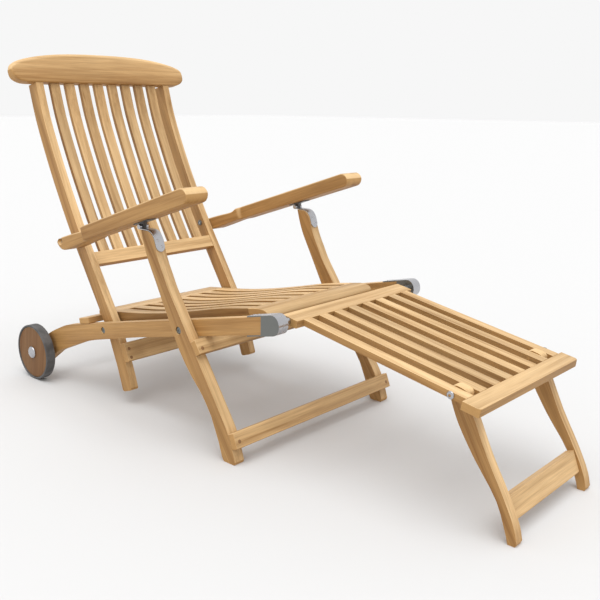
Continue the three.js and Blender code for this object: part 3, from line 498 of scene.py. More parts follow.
def teak(name, light, dark, turn):
    """Oiled teak: grain and knots, a tone for each board, sawn ends, painted shade on faces that look
    sideways or down, and pale edges that are partly wear and partly a painted highlight.
    """
    made, tree, shader = new_material(name)
    chance = add_node(tree, "ShaderNodeObjectInfo").outputs["Random"]
    seed = math_of(tree, "MULTIPLY", chance, SEED_SPREAD)
    streaks = noise(tree, object_space(tree, turn, STREAK_STRETCH), 1.6, 5.0, 0.55, 0.35, seed)
    figure = noise(tree, object_space(tree, turn, FIGURE_STRETCH), 1.7, 6.0, 0.62, 0.8, seed)
    fibres = noise(tree, object_space(tree, turn, FIBRE_STRETCH), 1.0, 3.0, 0.6, 0.0, seed)
    clouds = noise(tree, object_space(tree, turn, CLOUD_STRETCH), 1.0, 2.0, 0.5, 0.0, seed)
    colour = long_grain(tree, light, dark, streaks, figure, fibres)
    colour = mixed(tree, "MULTIPLY", 0.8, colour, remapped(tree, clouds, 0.3, 0.7, 0.90, 1.10))
    board = remapped(tree, chance, 0.0, 1.0, 1.0 - BOARD_SPREAD, 1.0 + BOARD_SPREAD / 2)
    colour = mixed(tree, "MULTIPLY", 1.0, colour, board)
    colour = mixed(tree, "MIX", knots(tree, turn, seed), colour, toned(dark, KNOT_SHADE))
    ends = math_of(tree, "MULTIPLY", end_faces(tree, turn), END_SHARE)
    colour = mixed(tree, "MIX", ends, colour, end_grain(tree, light))
    # Painted shade: faces that look sideways or down take the darker tint, standing in for shade from the
    # light overhead
    shaded = mixed(tree, "MULTIPLY", 1.0, colour, PAINTED_SIDE_SHADE)
    colour = mixed(tree, "MIX", painted_side_shade_mask(tree), colour, shaded)
    # Pale edges, partly wear and partly a painted highlight: the colour is lightened near every edge
    worn = math_of(tree, "MULTIPLY", edge_mask(tree, WOOD_WEAR_AND_HIGHLIGHT_RADIUS), WOOD_WEAR_AND_HIGHLIGHT_SHARE)
    pale = mixed(tree, "MULTIPLY", 1.0, colour, grey(WOOD_WEAR_AND_HIGHLIGHT_TONE))
    colour = mixed(tree, "MIX", worn, colour, pale)
    tree.links.new(colour, shader.inputs["Base Color"])
    tree.links.new(remapped(tree, figure, 0.3, 0.7, 0.64, 0.46), shader.inputs["Roughness"])
    shader.inputs["Specular IOR Level"].default_value = WOOD_SPECULAR
    bump(tree, shader, [(streaks, 0.12, 0.6 * MM), (fibres, 0.35, 0.15 * MM)])
    return made


def plug_wood(name, colour):
    """End grain of a plug: small rings and pores."""
    made, tree, shader = new_material(name)
    speckle = noise(tree, object_space(tree), SPECKLE_SCALE, 3.0)
    spotted = ramp(tree, speckle, [(0.35, toned(colour, SPECKLE_TONE)), (0.65, colour)])
    tree.links.new(spotted, shader.inputs["Base Color"])
    tree.links.new(remapped(tree, speckle, 0.3, 0.7, 0.7, 0.55), shader.inputs["Roughness"])
    bump(tree, shader, [(speckle, 0.3, 0.1 * MM)])
    return made


# Steel, rubber and floor

def steel(name, colour, low, high):
    """Satin steel with fine drawn lines, cloudy gloss and rubbed edges."""
    made, tree, shader = new_material(name)
    lines = noise(tree, object_space(tree, stretch=GROOVE_STRETCH), 1.0, 3.0)
    clouds = noise(tree, object_space(tree), STEEL_CLOUD_SCALE, 2.0, 0.5)
    stained = ramp(tree, clouds, [(0.30, toned(colour, STEEL_STAIN_TONE)), (0.62, colour)])
    worn = edge_mask(tree, STEEL_WEAR_RADIUS)
    polished = mixed(tree, "MULTIPLY", 1.0, stained, grey(STEEL_WEAR_TONE))
    tree.links.new(mixed(tree, "MIX", worn, stained, polished), shader.inputs["Base Color"])
    gloss = remapped(tree, clouds, 0.3, 0.7, low, high)
    scratches = remapped(tree, lines, 0.0, 1.0, -0.03, 0.03)
    tree.links.new(math_of(tree, "ADD", gloss, scratches), shader.inputs["Roughness"])
    shader.inputs["Metallic"].default_value = 1.0
    bump(tree, shader, [(lines, 0.03, 0.02 * MM)])
    return made


def rubber(name, colour):
    """Matt rubber, dusty in patches, with a fine moulded grain."""
    made, tree, shader = new_material(name)
    dust = noise(tree, object_space(tree), DUST_SCALE, 5.0, 0.6)
    grain = noise(tree, object_space(tree), RUBBER_GRAIN_SCALE, 2.0)
    dusty = [min(1.0, c * DUST_TONE + DUST_LIFT) for c in colour[:3]]
    tree.links.new(ramp(tree, dust, [(0.38, colour), (0.72, dusty)]), shader.inputs["Base Color"])
    tree.links.new(remapped(tree, dust, 0.3, 0.7, 0.62, 0.82), shader.inputs["Roughness"])
    bump(tree, shader, [(grain, 0.25, 0.1 * MM)])
    return made


def floor_paint(name, colour):
    """Plain matt paint of the studio floor."""
    made, _, shader = new_material(name)
    shader.inputs["Base Color"].default_value = colour
    shader.inputs["Roughness"].default_value = FLOOR_ROUGHNESS
    return made


# Finishes, each made once and shared

FINISHES = {}


def finish(name, build):
    """Finish of that name, built the first time that it is asked for."""
    if name not in FINISHES:
        FINISHES[name] = build(name)
    return FINISHES[name]


def teak_finish(label, turn):
    """Teak with its grain turned one way."""
    wood = bpy.context.scene.chair_wood
    return finish(f"teak_{label}", lambda name: teak(name, wood.light, wood.dark, turn))


def plug_finish():
    """End grain of the plugs."""
    wood = bpy.context.scene.chair_wood
    return finish("plug_wood", lambda name: plug_wood(name, wood.plug))


def metal_finish(label):
    """One of the steels, or the rubber."""
    metal = bpy.context.scene.chair_metal
    builders = {
        "bright_steel": lambda name: steel(name, metal.bright, 0.20, 0.34),
        "plate_steel": lambda name: steel(name, metal.plate, 0.34, 0.50),
        "dark_steel": lambda name: steel(name, metal.dark, 0.36, 0.52),
        "tyre_rubber": lambda name: rubber(name, metal.rubber),
    }
    return finish(label, builders[label])


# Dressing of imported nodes

def rounding_group():
    """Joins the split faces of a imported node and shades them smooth."""
    group = bpy.data.node_groups.new("joined_and_smooth", "GeometryNodeTree")
    group.interface.new_socket("Geometry", in_out="INPUT", socket_type="NodeSocketGeometry")
    group.interface.new_socket("Geometry", in_out="OUTPUT", socket_type="NodeSocketGeometry")
    start = group.nodes.new("NodeGroupInput")
    end = group.nodes.new("NodeGroupOutput")
    weld = group.nodes.new("GeometryNodeMergeByDistance")
    weld.inputs["Distance"].default_value = WELD_DISTANCE
    smooth = group.nodes.new("GeometryNodeSetShadeSmooth")
    group.links.new(start.outputs[0], weld.inputs["Geometry"])
    group.links.new(weld.outputs["Geometry"], smooth.inputs["Geometry"])
    group.links.new(smooth.outputs["Geometry"], end.inputs[0])
    return group


def ease_edges(piece, radius, segments=3, packed=True):
    """Rounds the sharp edges of a piece with modifiers, the mesh itself left alone."""
    if packed:
        group = bpy.data.node_groups.get("joined_and_smooth") or rounding_group()
        piece.modifiers.new("join", "NODES").node_group = group
        flat = piece.modifiers.new("flat_faces", "DECIMATE")
        flat.decimate_type = "DISSOLVE"
        flat.angle_limit = FLAT_ANGLE
    edges = piece.modifiers.new("eased_edges", "BEVEL")
    edges.width = radius
    edges.segments = segments
    edges.limit_method = "ANGLE"
    edges.angle_limit = EASED_ANGLE
    edges.use_clamp_overlap = True
    shading = piece.modifiers.new("shading", "WEIGHTED_NORMAL")
    shading.weight = 60
    shading.keep_sharp = False


def paint(piece, material):
    """Gives a piece one material."""
    piece.data.materials.clear()
    piece.data.materials.append(material)


def dress(names, material, radius, segments=3):
    """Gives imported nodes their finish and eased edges."""
    for name in names:
        paint(NODES[name], material)
        ease_edges(NODES[name], radius, segments)


# Mesh building

def placed(name, data):
    """New object in the scene, from a mesh, a lamp or a camera."""
    made = bpy.data.objects.new(name, data)
    bpy.context.scene.collection.objects.link(made)
    return made


def mesh_of(name, work):
    """Mesh from a finished bmesh, which is freed."""
    mesh = bpy.data.meshes.new(name)
    work.to_mesh(mesh)
    work.free()
    return mesh


def add_mesh(name, verts, faces, material, body):
    """New smooth piece that rides on a body."""
    mesh = bpy.data.meshes.new(name)
    mesh.from_pydata([tuple(v) for v in verts], [], faces)
    mesh.update()
    made = placed(name, mesh)
    work = bmesh.new()
    work.from_mesh(mesh)
    bmesh.ops.recalc_face_normals(work, faces=work.faces)
    work.to_mesh(mesh)
    work.free()
    mesh.shade_smooth()
    paint(made, material)
    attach(made, body)
    return made


def turning(axis):
    """Matrix that turns +Z onto an axis."""
    return Vector((0, 0, 1)).rotation_difference(Vector(axis).normalized()).to_matrix()


def circle(centre, spin, radius, height, count):
    """Points of a circle around an axis."""
    points = []
    for i in range(count):
        angle = 2 * math.pi * i / count
        spot = Vector((radius * math.cos(angle), radius * math.sin(angle), height))
        points.append(Vector(centre) + spin @ spot)
    return points


def lathe(name, centre, axis, profile, material, body, turns=64):
    """Body of revolution: a profile of radius and height around an axis."""
    spin = turning(axis)
    verts = []
    rings = []
    for radius, height in profile:
        if radius < ON_AXIS:
            points = [Vector(centre) + spin @ Vector((0, 0, height))]
        else:
            points = circle(centre, spin, radius, height, turns)
        rings.append(range(len(verts), len(verts) + len(points)))
        verts += points
    faces = []
    for low, high in zip(rings, rings[1:]):
        for i in range(turns):
            k = (i + 1) % turns
            if len(low) == 1 and len(high) == 1:
                break
            if len(low) == 1:
                faces.append((low[0], high[k], high[i]))
            elif len(high) == 1:
                faces.append((low[i], low[k], high[0]))
            else:
                faces.append((low[i], low[k], high[k], high[i]))
    made = add_mesh(name, verts, faces, material, body)
    made.data.set_sharp_from_angle(angle=LATHE_SHARP_ANGLE)
    return made


def arc_points(centre, radius, start, end, steps):
    """Points of an arc in a profile, in degrees."""
    points = []
    for i in range(steps + 1):
        angle = math.radians(start + (end - start) * i / steps)
        points.append((centre[0] + radius * math.cos(angle), centre[1] + radius * math.sin(angle)))
    return points


def mirrored(half):
    """Mirror image of a profile, run the other way."""
    return [(radius, -height) for radius, height in reversed(half)]


def along_slope(angle):
    """Own axes of a piece that slopes in the side view: along it, across the chair, up from it."""
    return Matrix(((math.cos(angle), 0, math.sin(angle)), (0, 1, 0), (-math.sin(angle), 0, math.cos(angle))))


def across_chair(angle):
    """Own axes of a piece across the chair: along it, through it and up, tilted in the side view."""
    return Matrix(((0, 1, 0), (math.cos(angle), 0, math.sin(angle)), (-math.sin(angle), 0, math.cos(angle))))


def section_of(name, axes, place):
    """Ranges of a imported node's section across the first of its own three axes."""
    mesh = NODES[name].data
    points = [axes @ vertex.co for vertex in mesh.vertices]
    found = []
    for edge in mesh.edges:
        first, second = (points[i] for i in edge.vertices)
        if (first.x - place) * (second.x - place) < 0:
            share = (place - first.x) / (second.x - first.x)
            found.append(first.lerp(second, share))
    if not found:
        raise RuntimeError(f"{name} has no section at {place}")
    across = [point.y for point in found]
    up = [point.z for point in found]
    return [min(across), max(across), min(up), max(up)]


def reach_along(name, axes):
    """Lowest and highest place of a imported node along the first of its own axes."""
    places = [(axes @ vertex.co).x for vertex in NODES[name].data.vertices]
    return min(places), max(places)


def rounded_ring(ranges, low_radius, high_radius, steps=5):
    """Rounded rectangle with one radius for its two low corners and another for its two high ones."""
    left, right, bottom, top = ranges
    most = 0.499 * min(right - left, top - bottom)
    corners = (
        (right, bottom, -1, 1, min(low_radius, most), -90),
        (right, top, -1, -1, min(high_radius, most), 0),
        (left, top, 1, -1, min(high_radius, most), 90),
        (left, bottom, 1, 1, min(low_radius, most), 180),
    )
    ring = []
    for a, b, way_a, way_b, radius, start in corners:
        centre = (a + way_a * radius, b + way_b * radius)
        ring += arc_points(centre, radius, start, start + 90, steps)
    return ring


def loft(name, node, axes, places, radii, end_radius, material, body):
    """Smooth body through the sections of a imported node, with rounded edges and ends."""
    start, end = reach_along(node, axes)
    verts = []
    rings = []
    to_frame = axes.transposed()
    for place in places:
        left, right, bottom, top = section_of(node, axes, place)
        near_end = min(place - start, end - place)
        if near_end < end_radius:
            pull = end_radius - math.sqrt(max(0.0, end_radius**2 - (end_radius - near_end) ** 2))
            left, right = left + pull, right - pull
        ring = rounded_ring((left, right, bottom, top), *radii)
        rings.append(range(len(verts), len(verts) + len(ring)))
        verts += [to_frame @ Vector((place, a, b)) for a, b in ring]
    faces = [tuple(rings[0]), tuple(reversed(rings[-1]))]
    for low, high in zip(rings, rings[1:]):
        for i in range(len(low)):
            k = (i + 1) % len(low)
            faces.append((low[i], low[k], high[k], high[i]))
    made = add_mesh(name, verts, faces, material, body)
    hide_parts(node)
    return made


def even_places(start, end, step):
    """Places between two ends, about a step apart."""
    count = max(1, round((end - start) / step))
    return [start + (end - start) * i / count for i in range(count + 1)]


def closing_places(end, depth, way, count):
    """Places that crowd toward a rounded end; way is -1 for a low end and 1 for a high one."""
    last = end - way * END_MARGIN
    return [last - way * depth * (1 - math.sin(math.pi / 2 * i / count)) for i in range(count + 1)]


def touch(node, start, way):
    """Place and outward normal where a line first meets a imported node."""
    mesh = NODES[node].data
    corners = [vertex.co for vertex in mesh.vertices]
    tree = BVHTree.FromPolygons(corners, [tuple(face.vertices) for face in mesh.polygons])
    place, normal, _, _ = tree.ray_cast(Vector(start), Vector(way).normalized())
    if place is None:
        raise RuntimeError(f"no face of {node} lies on the line from {start}")
    return place, normal


# Cutting

def hollowed(piece, tool):
    """Takes one mesh out of another, and removes the tool."""
    cutter = piece.modifiers.new("hollow", "BOOLEAN")
    cutter.object = tool
    cutter.operation = "DIFFERENCE"
    cutter.solver = "EXACT"
    bpy.context.view_layer.update()
    shaped = bpy.data.meshes.new_from_object(piece.evaluated_get(bpy.context.evaluated_depsgraph_get()))
    piece.modifiers.clear()
    old = piece.data
    shaped.name = old.name
    piece.data = shaped
    bpy.data.meshes.remove(old)
    tool_mesh = tool.data
    bpy.data.objects.remove(tool)
    bpy.data.meshes.remove(tool_mesh)
    piece.data.set_sharp_from_angle(angle=HOLLOW_SHARP_ANGLE)


def prism_tool(centre, axis, radius, low, high, sides):
    """Prism around an axis, used only to cut."""
    spin = turning(axis)
    work = bmesh.new()
    rings = []
    for height in (low, high):
        rings.append([work.verts.new(spot) for spot in circle(centre, spin, radius, height, sides)])
    work.faces.new(rings[0])
    work.faces.new(reversed(rings[1]))
    for i in range(sides):
        k = (i + 1) % sides
        work.faces.new((rings[0][i], rings[1][i], rings[1][k], rings[0][k]))
    bmesh.ops.recalc_face_normals(work, faces=work.faces)
    return placed("prism_tool", mesh_of("prism_tool", work))


def bar_tool(place, axis, turn, size, height):
    """Small bar across an axis, used only to cut."""
    work = bmesh.new()
    bmesh.ops.create_cube(work, size=1.0)
    lift = Matrix.Translation((0.0, 0.0, height))
    move = Matrix.Translation(Vector(place)) @ turning(axis).to_4x4() @ Matrix.Rotation(turn, 4, "Z") @ lift
    bmesh.ops.transform(work, matrix=move @ Matrix.Diagonal((*size, 1.0)), verts=work.verts)
    return placed("bar_tool", mesh_of("bar_tool", work))


# Fasteners

def socket_bolt(name, place, axis, size, body, steel_name="bright_steel"):
    """Domed bolt head with a hexagon socket, standing on its seat."""
    radius, rise = size
    dome = arc_points((0.0, 0.0), 1.0, 0, 90, 8)
    profile = [(0.0, -HEAD_SINK), (radius * 0.9, -HEAD_SINK), (radius, 0.0)]
    profile += [(radius * c, rise * (0.25 + 0.75 * s)) for c, s in dome]
    profile[-1] = (0.0, rise)
    head = lathe(name, place, axis, profile, metal_finish(steel_name), body, 48)
    hollowed(head, prism_tool(place, axis, radius * 0.42, rise * 0.35, rise * 1.5, SOCKET_SIDES))


def cross_screw(name, place, axis, radius, body):
    """Slightly domed screw head with a cross recess."""
    rise = radius * 0.28
    profile = [(0.0, -SCREW_SINK), (radius * 0.95, -SCREW_SINK), (radius, SCREW_LIP)]
    dome = [(share, math.sqrt(1 - share * share)) for share in (0.85, 0.6, 0.3)]
    profile += [(radius * out, rise * up + SCREW_LIP) for out, up in dome]
    profile.append((0.0, rise + SCREW_LIP))
    head = lathe(name, place, axis, profile, metal_finish("bright_steel"), body, 32)
    size = (radius * 1.1, radius * 0.24, rise * 1.6)
    for turn in (0.0, math.pi / 2):
        hollowed(head, bar_tool(place, axis, turn, size, rise * 1.1))


def plug(name, place, axis, radius, body):
    """Wooden plug over a screw, a hair proud of the board."""
    foot, side, shoulder, top = PLUG_HEIGHTS
    profile = [(0.0, foot), (radius, foot), (radius, side)]
    profile += [(radius * PLUG_SHOULDER_SHARE, shoulder), (0.0, top)]
    lathe(name, place, axis, profile, plug_finish(), body, 32)


# Head rail, arms, wheels and brackets

def build_head_rail():
    """Head rail with a full round top edge and round ends."""
    wood = bpy.context.scene.chair_wood
    axes = across_chair(math.radians(HEAD_TILT_DEG))
    start, end = reach_along("back_head_rail", axes)
    depth = HEAD_END_ROUNDINGS * wood.head_rounding
    places = closing_places(start, depth, -1, HEAD_END_RINGS)
    places += even_places(start + depth, end - depth, HEAD_STEP)[1:-1]
    places += closing_places(end, depth, 1, HEAD_END_RINGS)
    radii = (HEAD_LOW_ROUNDING, wood.head_rounding)
    timber = teak_finish("across", GRAIN_ACROSS)
    round_end = wood.head_rounding
    loft("head_rail", "back_head_rail", axes, sorted(places), radii, round_end, timber, "back")


def build_arm(hand, side):
    """Arm with rounded edges, hollowed and drilled for its bolt."""
    wood = bpy.context.scene.chair_wood
    slope = math.radians(ARM_SLOPE_DEG)
    axes = along_slope(slope)
    node = f"arm_{hand}"
    start, end = reach_along(node, axes)
    pivot = pivot_of(f"arm_{hand}_fold")
    neck = (axes @ pivot).x + NECK_FROM_PIVOT
    neck_end = neck + NECK_LENGTH
    places = closing_places(start, ARM_REAR_END, -1, ARM_REAR_RINGS)
    places += even_places(start + ARM_REAR_END, neck, ARM_REAR_STEP)[1:]
    places += even_places(neck, neck_end, NECK_STEP)[1:]
    places += even_places(neck_end, end - ARM_TIP_END, ARM_STEP)[1:-1]
    places += closing_places(end, ARM_TIP_END, 1, ARM_TIP_RINGS)
    radii = (wood.arm_rounding * ARM_UNDER_SHARE, wood.arm_rounding)
    timber = teak_finish("along_arm", grain_in_side_view(slope))
    arm = loft(f"armrest_{hand}", node, axes, sorted(places), radii, 0.0, timber, node)
    outer = pivot + Vector((0, side * (NECK_OUTER - abs(pivot.y)), 0))
    out = (0, side, 0)
    hollowed(arm, prism_tool(outer, out, HOLLOW_RADIUS, -HOLLOW_DEPTH, HOLLOW_DEPTH, HOLLOW_SIDES))
    hollowed(arm, prism_tool(outer, out, HOLE_RADIUS, -HOLE_DEPTH, HOLLOW_DEPTH, HOLE_SIDES))


def build_disc(hand, timber):
    """Turned wooden disc of a wheel, with a bore and rounded rims."""
    node = f"wheel_disc_{hand}"
    centre = middle_of(node)
    radius, half = turned_size(node)
    face = [(DISC_BORE, half), (radius * DISC_HUB_SHARE, half), (radius - 2 * DISC_ROUND, half)]
    face += arc_points((radius - DISC_ROUND, half - DISC_ROUND), DISC_ROUND, 90, 0, 5)
    profile = face + mirrored(face) + [face[0]]
    made = lathe(f"wood_{node}", centre, (0, 1, 0), profile, timber, f"wheel_{hand}", 96)
    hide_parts(node)


def build_tyre(hand):
    """Rubber tyre with rounded shoulders around its disc."""
    node = f"wheel_tyre_{hand}"
    centre = middle_of(f"wheel_disc_{hand}")
    inner = turned_size(f"wheel_disc_{hand}")[0] + TYRE_GAP
    outer, half = turned_size(node)
    crown = arc_points((outer - TYRE_SHOULDER, half - TYRE_SHOULDER), TYRE_SHOULDER, 0, 90, 6)
    edge = [(outer, 0.0)] + crown + [(inner + TYRE_LIP, half), (inner, half - TYRE_LIP)]
    profile = edge + mirrored(edge)
    material = metal_finish("tyre_rubber")
    made = lathe(f"rubber_{node}", centre, (0, 1, 0), profile, material, f"wheel_{hand}", 128)
    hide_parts(node)


def build_axle():
    """Axle with a domed cap outside each wheel."""
    centre = middle_of("wheel_axle")
    cap, reach = turned_size("wheel_axle")
    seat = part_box("wheel_disc_left")[1].y + CAP_GAP
    rise = reach - seat - CAP_RIM
    dome = [(cap * c, seat + CAP_RIM + rise * s) for c, s in arc_points((0.0, 0.0), 1.0, 0, 90, 14)]
    dome[-1] = (0.0, reach)
    half = [(AXLE_RADIUS, seat), (cap * 0.96, seat), (cap, seat + CAP_RIM * 0.4)] + dome
    profile = mirrored(half) + half
    material = metal_finish("bright_steel")
    made = lathe("capped_axle", centre, (0, 1, 0), profile, material, "chassis")
    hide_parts("wheel_axle")


def build_bracket(hand):
    """Satin cheeks and a bright strap over the rail's nose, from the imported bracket."""
    node = f"rail_bracket_{hand}"
    work = bmesh.new()
    work.from_mesh(NODES[node].data)
    bmesh.ops.remove_doubles(work, verts=work.verts, dist=WELD_DISTANCE)
    bmesh.ops.dissolve_limit(work, angle_limit=FLAT_ANGLE, verts=work.verts, edges=work.edges)
    rounds = []
    for edge in work.edges:
        across = (edge.verts[0].co - edge.verts[1].co).normalized()
        if abs(across.y) > 0.99 and len(edge.link_faces) == 2:
            if NOSE_TURN_LOW < edge.calc_face_angle() < NOSE_TURN_HIGH:
                rounds.append(edge)
    bmesh.ops.bevel(
        work, geom=rounds, offset=NOSE_EASE, segments=4, profile=0.5, affect="EDGES", clamp_overlap=True
    )
    for face in work.faces:
        face.smooth = True
        face.material_index = 1 if abs(face.normal.y) < 0.5 else 0
    made = placed(f"bracket_{hand}", mesh_of(f"bracket_{hand}", work))
    made.data.materials.append(metal_finish("plate_steel"))
    made.data.materials.append(metal_finish("bright_steel"))
    ease_edges(made, bpy.context.scene.chair_metal.rounding, 2, packed=False)
    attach(made, "chassis")
    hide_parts(node)


# Bolts, screws and plugs in their places

def add_bolts(hand, side):
    """Socket heads on the ends of the rods, the arm bolts and the prop bolts."""
    for joint, rod in (("back_fold", "back_pivot_rod"), ("front_legs_fold", "front_leg_pivot_rod")):
        spot = pivot_of(joint)
        spot.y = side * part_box(rod)[1].y
        socket_bolt(f"{rod}_head_{hand}", spot, (0, side, 0), ROD_HEAD, "chassis", "plate_steel")
    spot = pivot_of(f"arm_{hand}_fold")
    low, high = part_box(f"arm_bolt_{hand}")
    spot.y = side * (min(abs(low.y), abs(high.y)) + ARM_HEAD_SEAT)
    socket_bolt(f"arm_bolt_head_{hand}", spot, (0, -side, 0), ARM_HEAD, "back", "plate_steel")
    spot = pivot_of("prop_leg_hinge")
    low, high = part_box(f"prop_leg_{hand}")
    spot.y = side * (max(abs(low.y), abs(high.y)) - PROP_HEAD_SINK)
    socket_bolt(f"prop_bolt_head_{hand}", spot, (0, side, 0), PROP_HEAD, "prop_legs")


def add_strap_screws(hand):
    """Two screws, out of line, in the hinge strap on a front leg."""
    strap = f"leg_hinge_strap_{hand}"
    low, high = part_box(strap)
    across = (low.y + high.y) / 2
    for i, rise in enumerate(STRAP_SCREW_RISES):
        shift = STRAP_SCREW_SHIFT * (-1) ** i
        spot, normal = touch(strap, (high.x + LOOK_FROM, across + shift, low.z + rise), (-1, 0, 0))
        cross_screw(f"strap_screw_{hand}_{i + 1}", spot, normal, SCREW_RADIUS, "front_legs")


def add_bracket_screws(hand):
    """Screws in the tails of a bracket, above and below the rail."""
    bracket = f"rail_bracket_{hand}"
    low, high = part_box(bracket)
    across = middle_of(f"side_rail_{hand}").y
    for i, inset in enumerate(BRACKET_SCREW_INSETS):
        for label, way, start in (("top", -1, high.z + LOOK_FROM), ("under", 1, low.z - LOOK_FROM)):
            spot, normal = touch(bracket, (low.x + inset, across, start), (0, 0, way))
            cross_screw(f"bracket_screw_{label}_{hand}_{i + 1}", spot, normal, SCREW_RADIUS, "chassis")


def add_plugs(hand, side):
    """Plugs where boards are screwed to the legs, at a share of each board's height."""
    for board, body, inset, share in (
        ("front_leg_bar_upper", "front_legs", BAR_PLUG_INSET, 0.5),
        ("front_leg_bar_lower", "front_legs", BAR_PLUG_INSET, 0.5),
        ("rear_leg_slat", "back", SLAT_PLUG_INSET, 0.3),
        ("rear_leg_slat", "back", SLAT_PLUG_INSET, 0.7),
    ):
        low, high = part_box(board)
        height = low.z + (high.z - low.z) * share
        spot, normal = touch(board, (high.x + LOOK_FROM, side * (high.y - inset), height), (-1, 0, 0))
        plug(f"plug_{board}_{hand}_{round(share * 10)}", spot, normal, PLUG_RADIUS, body)


# Stage

def build_floor(colour):
    """Wide plain floor under the chair."""
    reach = FLOOR_REACH
    verts = [(-reach, -reach, 0), (reach, -reach, 0), (reach, reach, 0), (-reach, reach, 0)]
    mesh = bpy.data.meshes.new("studio_floor")
    mesh.from_pydata(verts, [], [(0, 1, 2, 3)])
    floor = placed("studio_floor", mesh)
    paint(floor, floor_paint("studio_floor", colour))


def studio_sky(strength):
    """Even white light from all around."""
    world = bpy.data.worlds.new("studio_sky")
    world.use_nodes = True
    around = world.node_tree.nodes["Background"]
    around.inputs["Color"].default_value = grey(1.0)
    around.inputs["Strength"].default_value = strength
    return world


def add_soft_light(name, direction, spread, strength):
    """Broad light from far off, the same all over the floor."""
    data = bpy.data.lights.new(name, "SUN")
    data.angle = spread
    data.energy = strength
    lamp = placed(name, data)
    lamp.rotation_euler = Vector(direction).to_track_quat("Z", "Y").to_euler()


def add_camera():
    """Camera at the photograph's viewing angle."""
    data = bpy.data.cameras.new("photo_camera")
    data.sensor_fit = "HORIZONTAL"
    data.sensor_width = SENSOR_WIDTH
    data.lens = FOCAL_PIXELS / PHOTO_WIDTH * SENSOR_WIDTH
    data.shift_x = (PHOTO_WIDTH / 2 - CENTRE_PIXEL[0]) / PHOTO_WIDTH
    data.shift_y = (CENTRE_PIXEL[1] - PHOTO_WIDTH / 2) / PHOTO_WIDTH
    camera = placed("photo_camera", data)
    turn = Euler([math.radians(angle) for angle in CAMERA_TURN_DEG]).to_matrix().to_4x4()
    camera.matrix_world = Matrix.Translation(Vector(CAMERA_PLACE)) @ turn
    bpy.context.scene.camera = camera


# Operators

class CHAIR_OT_stage(bpy.types.Operator):
    """Builds the pale floor, the soft lights and the camera"""

    bl_idname = "chair.stage"
    bl_label = "Stage"

    def execute(self, context):
        settings = context.scene.chair_stage
        build_floor(settings.floor)
        context.scene.world = studio_sky(settings.sky)
        context.scene.view_settings.view_transform = "Standard"
        add_soft_light("key_light", KEY_DIRECTION, settings.key_spread, settings.key)
        add_camera()
        return {"FINISHED"}


class CHAIR_OT_rails(bpy.types.Operator):
    """Dresses the side rails and the rear cross slat"""

    bl_idname = "chair.rails"
    bl_label = "Side rails"

    def execute(self, context):
        wood = context.scene.chair_wood
        along = grain_in_side_view(lean_of("seat_slat_1", True))
        dress(pair_of("side_rail"), teak_finish("along_rail", along), wood.rounding)
        dress(["rear_cross_slat"], teak_finish("across", GRAIN_ACROSS), wood.rounding)
        return {"FINISHED"}


class CHAIR_OT_seat(bpy.types.Operator):
    """Dresses the boards and slats of the seat"""

    bl_idname = "chair.seat"
    bl_label = "Seat"

    def execute(self, context):
        wood = context.scene.chair_wood
        along = grain_in_side_view(lean_of("seat_slat_1", True))
        slats = row_of("seat_slat") + pair_of("seat_side_board")
        dress(slats, teak_finish("along_rail", along), wood.slat_rounding)
        dress(["seat_rear_board"], teak_finish("across", GRAIN_ACROSS), wood.slat_rounding)
        dress(["seat_front_board"], teak_finish("across", GRAIN_ACROSS), wood.rounding)
        return {"FINISHED"}


class CHAIR_OT_back(bpy.types.Operator):
    """Dresses the stiles, slats and lower rails of the back, and builds its head rail"""

    bl_idname = "chair.back"
    bl_label = "Back"

    def execute(self, context):
        wood = context.scene.chair_wood
        along = grain_in_side_view(lean_of("back_slat_1", False))
        dress(pair_of("back_stile"), teak_finish("along_back", along), wood.rounding)
        dress(row_of("back_slat"), teak_finish("along_back", along), wood.slat_rounding)
        dress(["back_lower_rail", "rear_leg_slat"], teak_finish("across", GRAIN_ACROSS), wood.rounding)
        build_head_rail()
        return {"FINISHED"}


class CHAIR_OT_arms(bpy.types.Operator):
    """Builds the arms"""

    bl_idname = "chair.arms"
    bl_label = "Arms"

    def execute(self, context):
        for hand, side in HANDS:
            build_arm(hand, side)
        return {"FINISHED"}


class CHAIR_OT_front_legs(bpy.types.Operator):
    """Dresses the front legs and their bars"""

    bl_idname = "chair.front_legs"
    bl_label = "Front legs"

    def execute(self, context):
        wood = context.scene.chair_wood
        along = grain_in_side_view(lean_of("front_leg_right", False))
        dress(pair_of("front_leg"), teak_finish("along_leg", along), wood.rounding)
        bars = ["front_leg_bar_upper", "front_leg_bar_lower"]
        dress(bars, teak_finish("across", GRAIN_ACROSS), wood.rounding)
        return {"FINISHED"}


class CHAIR_OT_leg_rest(bpy.types.Operator):
    """Dresses the leg rest and its prop legs"""

    bl_idname = "chair.leg_rest"
    bl_label = "Leg rest"

    def execute(self, context):
        wood = context.scene.chair_wood
        along = grain_in_side_view(lean_of("leg_rest_slat_1", False))
        dress(row_of("leg_rest_slat"), teak_finish("along_rest", along), wood.slat_rounding)
        boards = ["leg_rest_head_board", "leg_rest_foot_board", "prop_leg_board"]
        dress(boards, teak_finish("across", GRAIN_ACROSS), wood.slat_rounding)
        lean = grain_in_side_view(lean_of("prop_leg_right", False))
        dress(pair_of("prop_leg"), teak_finish("along_prop", lean), wood.rounding)
        return {"FINISHED"}


class CHAIR_OT_wheels(bpy.types.Operator):
    """Builds the turned discs, the tyres and the axle with its caps"""

    bl_idname = "chair.wheels"
    bl_label = "Wheels"

    def execute(self, context):
        wood = context.scene.chair_wood
        upright = grain_in_side_view(math.radians(WHEEL_GRAIN_DEG))
        timber = finish("wheel_wood", lambda name: teak(name, wood.wheel_light, wood.wheel_dark, upright))
        for hand, _ in HANDS:
            build_disc(hand, timber)
            build_tyre(hand)
        build_axle()
        return {"FINISHED"}


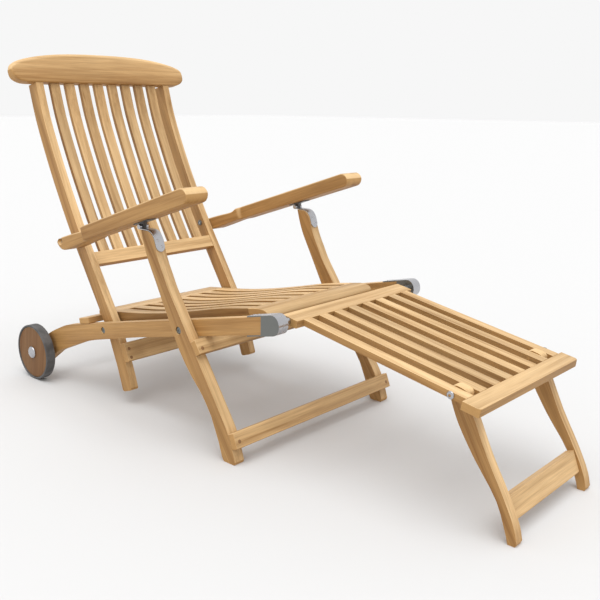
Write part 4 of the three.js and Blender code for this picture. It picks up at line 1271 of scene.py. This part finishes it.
class CHAIR_OT_fittings(bpy.types.Operator):
    """Dresses the rods, bolts and hinges, and builds the brackets, bolt heads, screws and plugs"""

    bl_idname = "chair.fittings"
    bl_label = "Fittings"

    def execute(self, context):
        rounding = context.scene.chair_metal.rounding
        bright = ["back_pivot_rod", "front_leg_pivot_rod"] + pair_of("arm_bolt") + pair_of("leg_hinge_strap")
        dress(bright, metal_finish("bright_steel"), rounding, 2)
        # Painted shade: the arm hinge leaves take the darker copy of the plate steel
        dress(pair_of("arm_hinge_leaf"), metal_finish("dark_steel"), rounding, 2)
        for hand, side in HANDS:
            build_bracket(hand)
            add_bolts(hand, side)
            add_strap_screws(hand)
            add_bracket_screws(hand)
            add_plugs(hand, side)
        return {"FINISHED"}


class CHAIR_PT_panel(bpy.types.Panel):
    """Lists the steps that dress the chair"""

    bl_idname = "CHAIR_PT_panel"
    bl_label = "Deck chair"
    bl_space_type = "VIEW_3D"
    bl_region_type = "UI"
    bl_category = "Deck chair"

    def draw(self, context):
        for group, _ in SETTINGS:
            settings = getattr(context.scene, group)
            for name in settings.__annotations__:
                self.layout.prop(settings, name)
        for step in STEPS:
            self.layout.operator(step.bl_idname)


STEPS = (
    CHAIR_OT_stage,
    CHAIR_OT_rails,
    CHAIR_OT_seat,
    CHAIR_OT_back,
    CHAIR_OT_arms,
    CHAIR_OT_front_legs,
    CHAIR_OT_leg_rest,
    CHAIR_OT_wheels,
    CHAIR_OT_fittings,
)
SETTINGS = (
    ("chair_wood", WoodSettings),
    ("chair_metal", MetalSettings),
    ("chair_stage", StageSettings),
)


def register():
    for name, group in SETTINGS:
        bpy.utils.register_class(group)
        setattr(bpy.types.Scene, name, bpy.props.PointerProperty(type=group))
    for step in STEPS:
        bpy.utils.register_class(step)
    bpy.utils.register_class(CHAIR_PT_panel)


def unregister():
    bpy.utils.unregister_class(CHAIR_PT_panel)
    for step in reversed(STEPS):
        bpy.utils.unregister_class(step)
    for name, group in reversed(SETTINGS):
        delattr(bpy.types.Scene, name)
        bpy.utils.unregister_class(group)


def run_step(step):
    """Calls one operator and raises if it didn't finish."""
    family, name = step.bl_idname.split(".")
    if getattr(getattr(bpy.ops, family), name)() != {"FINISHED"}:
        raise RuntimeError(f"{step.bl_label} didn't finish")


def main():
    """Builds the whole scene."""
    register()
    for step in STEPS:
        run_step(step)
    bpy.context.view_layer.update()


if __name__ == "__main__":
    main()
